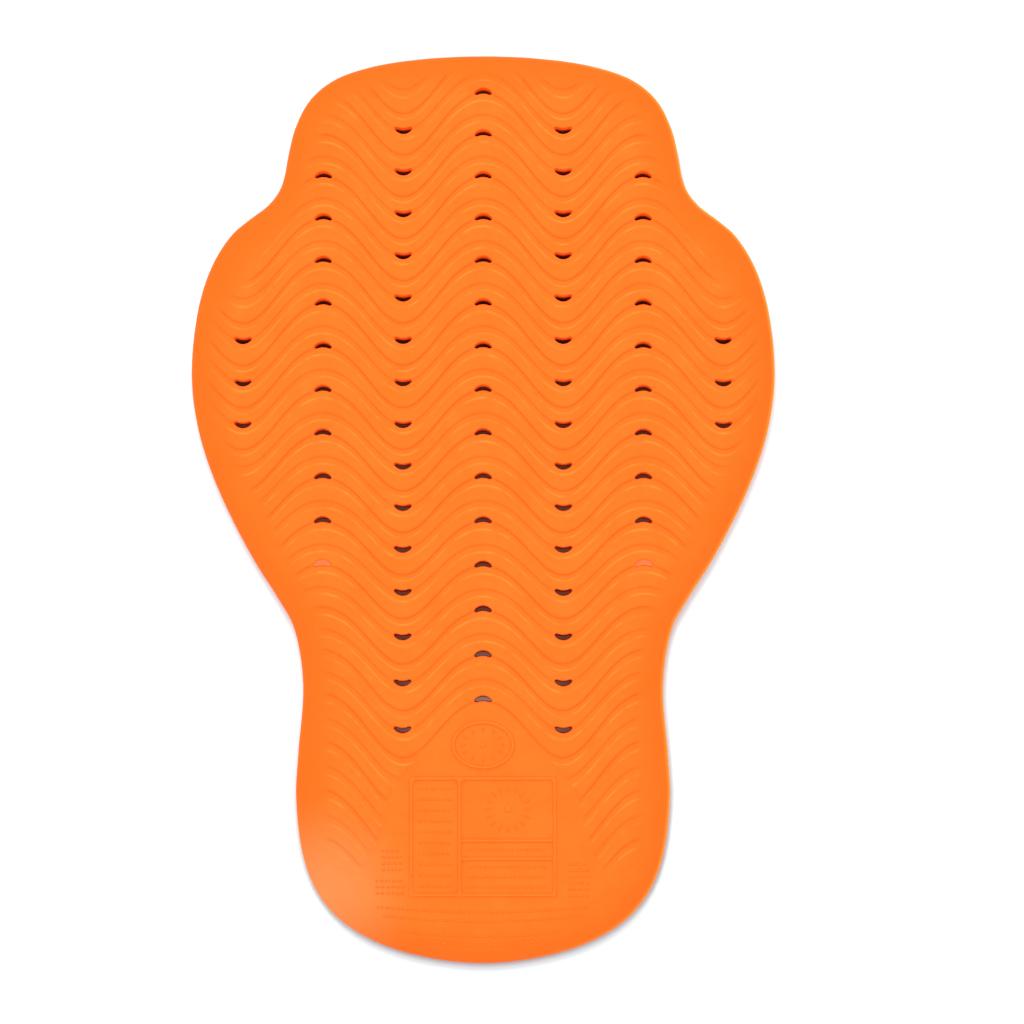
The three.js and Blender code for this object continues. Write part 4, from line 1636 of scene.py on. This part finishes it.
@dataclass
class Studio:
    """Floor, soft light from beyond the neck end, and the camera, in millimetres.

    A floor ring has its inset from the pad's outline, how far the pad covers it and how deep its shadow is.
    """

    floor_size: float = 6000.0
    floor_drop: float = 0.05
    floor_rings: tuple = ((-2.6, 0, 0), (0.0, 0, 1), (5.0, 0, 1), (9.0, 1, 1))
    point_step: int = 3
    epsilon: float = 1e-4
    frame_width: float = 496.5
    aim: tuple = (13.97, -2.2, 5.0)
    elevation: float = 87.2
    distance: float = 2000.0
    sensor: float = 36.0
    key_place: tuple = (-300.0, 1900.0, 3200.0)
    key_size: float = 1400.0
    key_power: float = 72.0
    key_colour: tuple = (1.0, 0.97, 0.9)
    sky_colour: tuple = (0.95, 1.0, 1.06, 1.0)
    sky_strength: float = 1.3
    ceiling_share: float = 0.6
    ceiling_heights: tuple = (0.72, 0.97)

    def build(self, outline: np.ndarray, material: bpy.types.Material) -> None:
        """Builds the floor, the lights and the camera.

        Args:
            outline: The pad's outline.
            material: The floor's finish.
        """
        self.floor(outline, material)
        bpy.context.scene.world = self.room()
        self.place_key()
        self.place_camera()
        bpy.context.scene.view_settings.view_transform = "Standard"

    def floor(self, outline: np.ndarray, material: bpy.types.Material) -> bpy.types.Object:
        """Makes the floor, with the numbers that its finish reads stored along the pad's outline.

        Args:
            outline: The pad's outline.
            material: The floor's finish.

        Returns:
            The floor.
        """
        half = self.floor_size / 2
        corners = np.array([(-half, -half), (half, -half), (half, half), (-half, half)])
        loops = [inset_loop(outline, inset)[::self.point_step] for inset, _, _ in self.floor_rings]
        flat = [Vector(p) for p in np.vstack([corners, *loops]).tolist()]
        made = delaunay_2d_cdt(flat, [], [], 0, self.epsilon, True)
        points = np.array([(*v, -self.floor_drop) for v in made[0]])
        values = {}
        for column, name in enumerate(("covered", "contact"), start=1):
            steps = [np.full(len(loop), float(ring[column])) for loop, ring in zip(loops, self.floor_rings)]
            given = np.concatenate([np.zeros(len(corners)), *steps])
            values[name] = np.array([given[olds[0]] for olds in made[3]])
        floor = mesh_object("studio_floor", points, made[2], values)
        floor.data.materials.append(material)
        return floor

    def place_key(self) -> None:
        """Hangs a square softbox beyond the neck end, with no reflection of its own."""
        light = bpy.data.lights.new("key_softbox", "AREA")
        light.shape = "SQUARE"
        light.size = self.key_size * MM
        light.energy = self.key_power
        light.color = self.key_colour
        key = bpy.data.objects.new("key_softbox", light)
        bpy.context.scene.collection.objects.link(key)
        key.location = Vector(self.key_place) * MM
        key.rotation_euler = (-key.location).to_track_quat("-Z", "Y").to_euler()
        key.visible_glossy = False

    def room(self) -> bpy.types.World:
        """Makes the room's light: bright white walls, and a dimmer ceiling over the camera."""
        world = bpy.data.worlds.new("soft_white_room")
        world.use_nodes = True
        world.node_tree.nodes.clear()
        add = partial(add_node, world.node_tree)
        way = add("ShaderNodeTexCoord").outputs["Generated"]
        low, high = self.ceiling_heights
        level = add("ShaderNodeMapRange", {
            "Value": add("ShaderNodeSeparateXYZ", (way,)).outputs["Z"], "From Min": low, "From Max": high,
            "To Min": self.sky_strength, "To Max": self.sky_strength * self.ceiling_share},
            interpolation_type="SMOOTHSTEP")
        light = add("ShaderNodeBackground", {"Color": self.sky_colour, "Strength": level})
        add("ShaderNodeOutputWorld", {"Surface": light})
        return world

    def place_camera(self) -> None:
        """Sets the camera over the pad, leaning a little towards the waist end."""
        lens = bpy.data.cameras.new("photo_camera")
        lens.sensor_width = self.sensor
        lens.lens = self.sensor * self.distance / self.frame_width
        camera = bpy.data.objects.new("photo_camera", lens)
        bpy.context.scene.collection.objects.link(camera)
        lean = math.radians(self.elevation)
        towards = Vector((0, -math.cos(lean), math.sin(lean)))
        camera.location = (Vector(self.aim) + towards * self.distance) * MM
        camera.rotation_euler = (math.pi / 2 - lean, 0, 0)
        bpy.context.scene.camera = camera


def declare(piece: bpy.types.Object) -> None:
    """Rides a piece on the body and logs it.

    Args:
        piece: The finished piece.
    """
    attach(piece, BODY)
    triangles = sum(len(p.vertices) - 2 for p in piece.data.polygons)
    logging.info("%s: %d triangles", piece.name, triangles)


def main() -> None:
    """Builds the pad and what is on it, and the studio round it."""
    logging.basicConfig(level=logging.INFO, format="%(message)s")
    low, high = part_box(PAD_NODE)
    form = PadForm(length=(high.y - low.y) / MM, width=(high.x - low.x) / MM)
    waves = RibWaves(form)
    zone = LabelZone(form, waves)
    Studio().build(form.outline(), StudioFloor().make())
    foam = MouldedFoamSkin().make()
    moulded = MouldedPad(form, waves, zone, VentSlots(waves))
    pad = moulded.build(foam)
    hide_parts(PAD_NODE)
    declare(pad)
    declare(SlotFilms(moulded).build(pad, FoamFlash().make()))
    relief = FoamFlash(name="small_polyurethane_relief", colour="#F87016", dark_colour="#F2640E",
                       roughness=0.45, specular=0.2)
    declare(RaisedMarks(zone).build(pad, relief.make()))


if __name__ == "__main__":
    main()
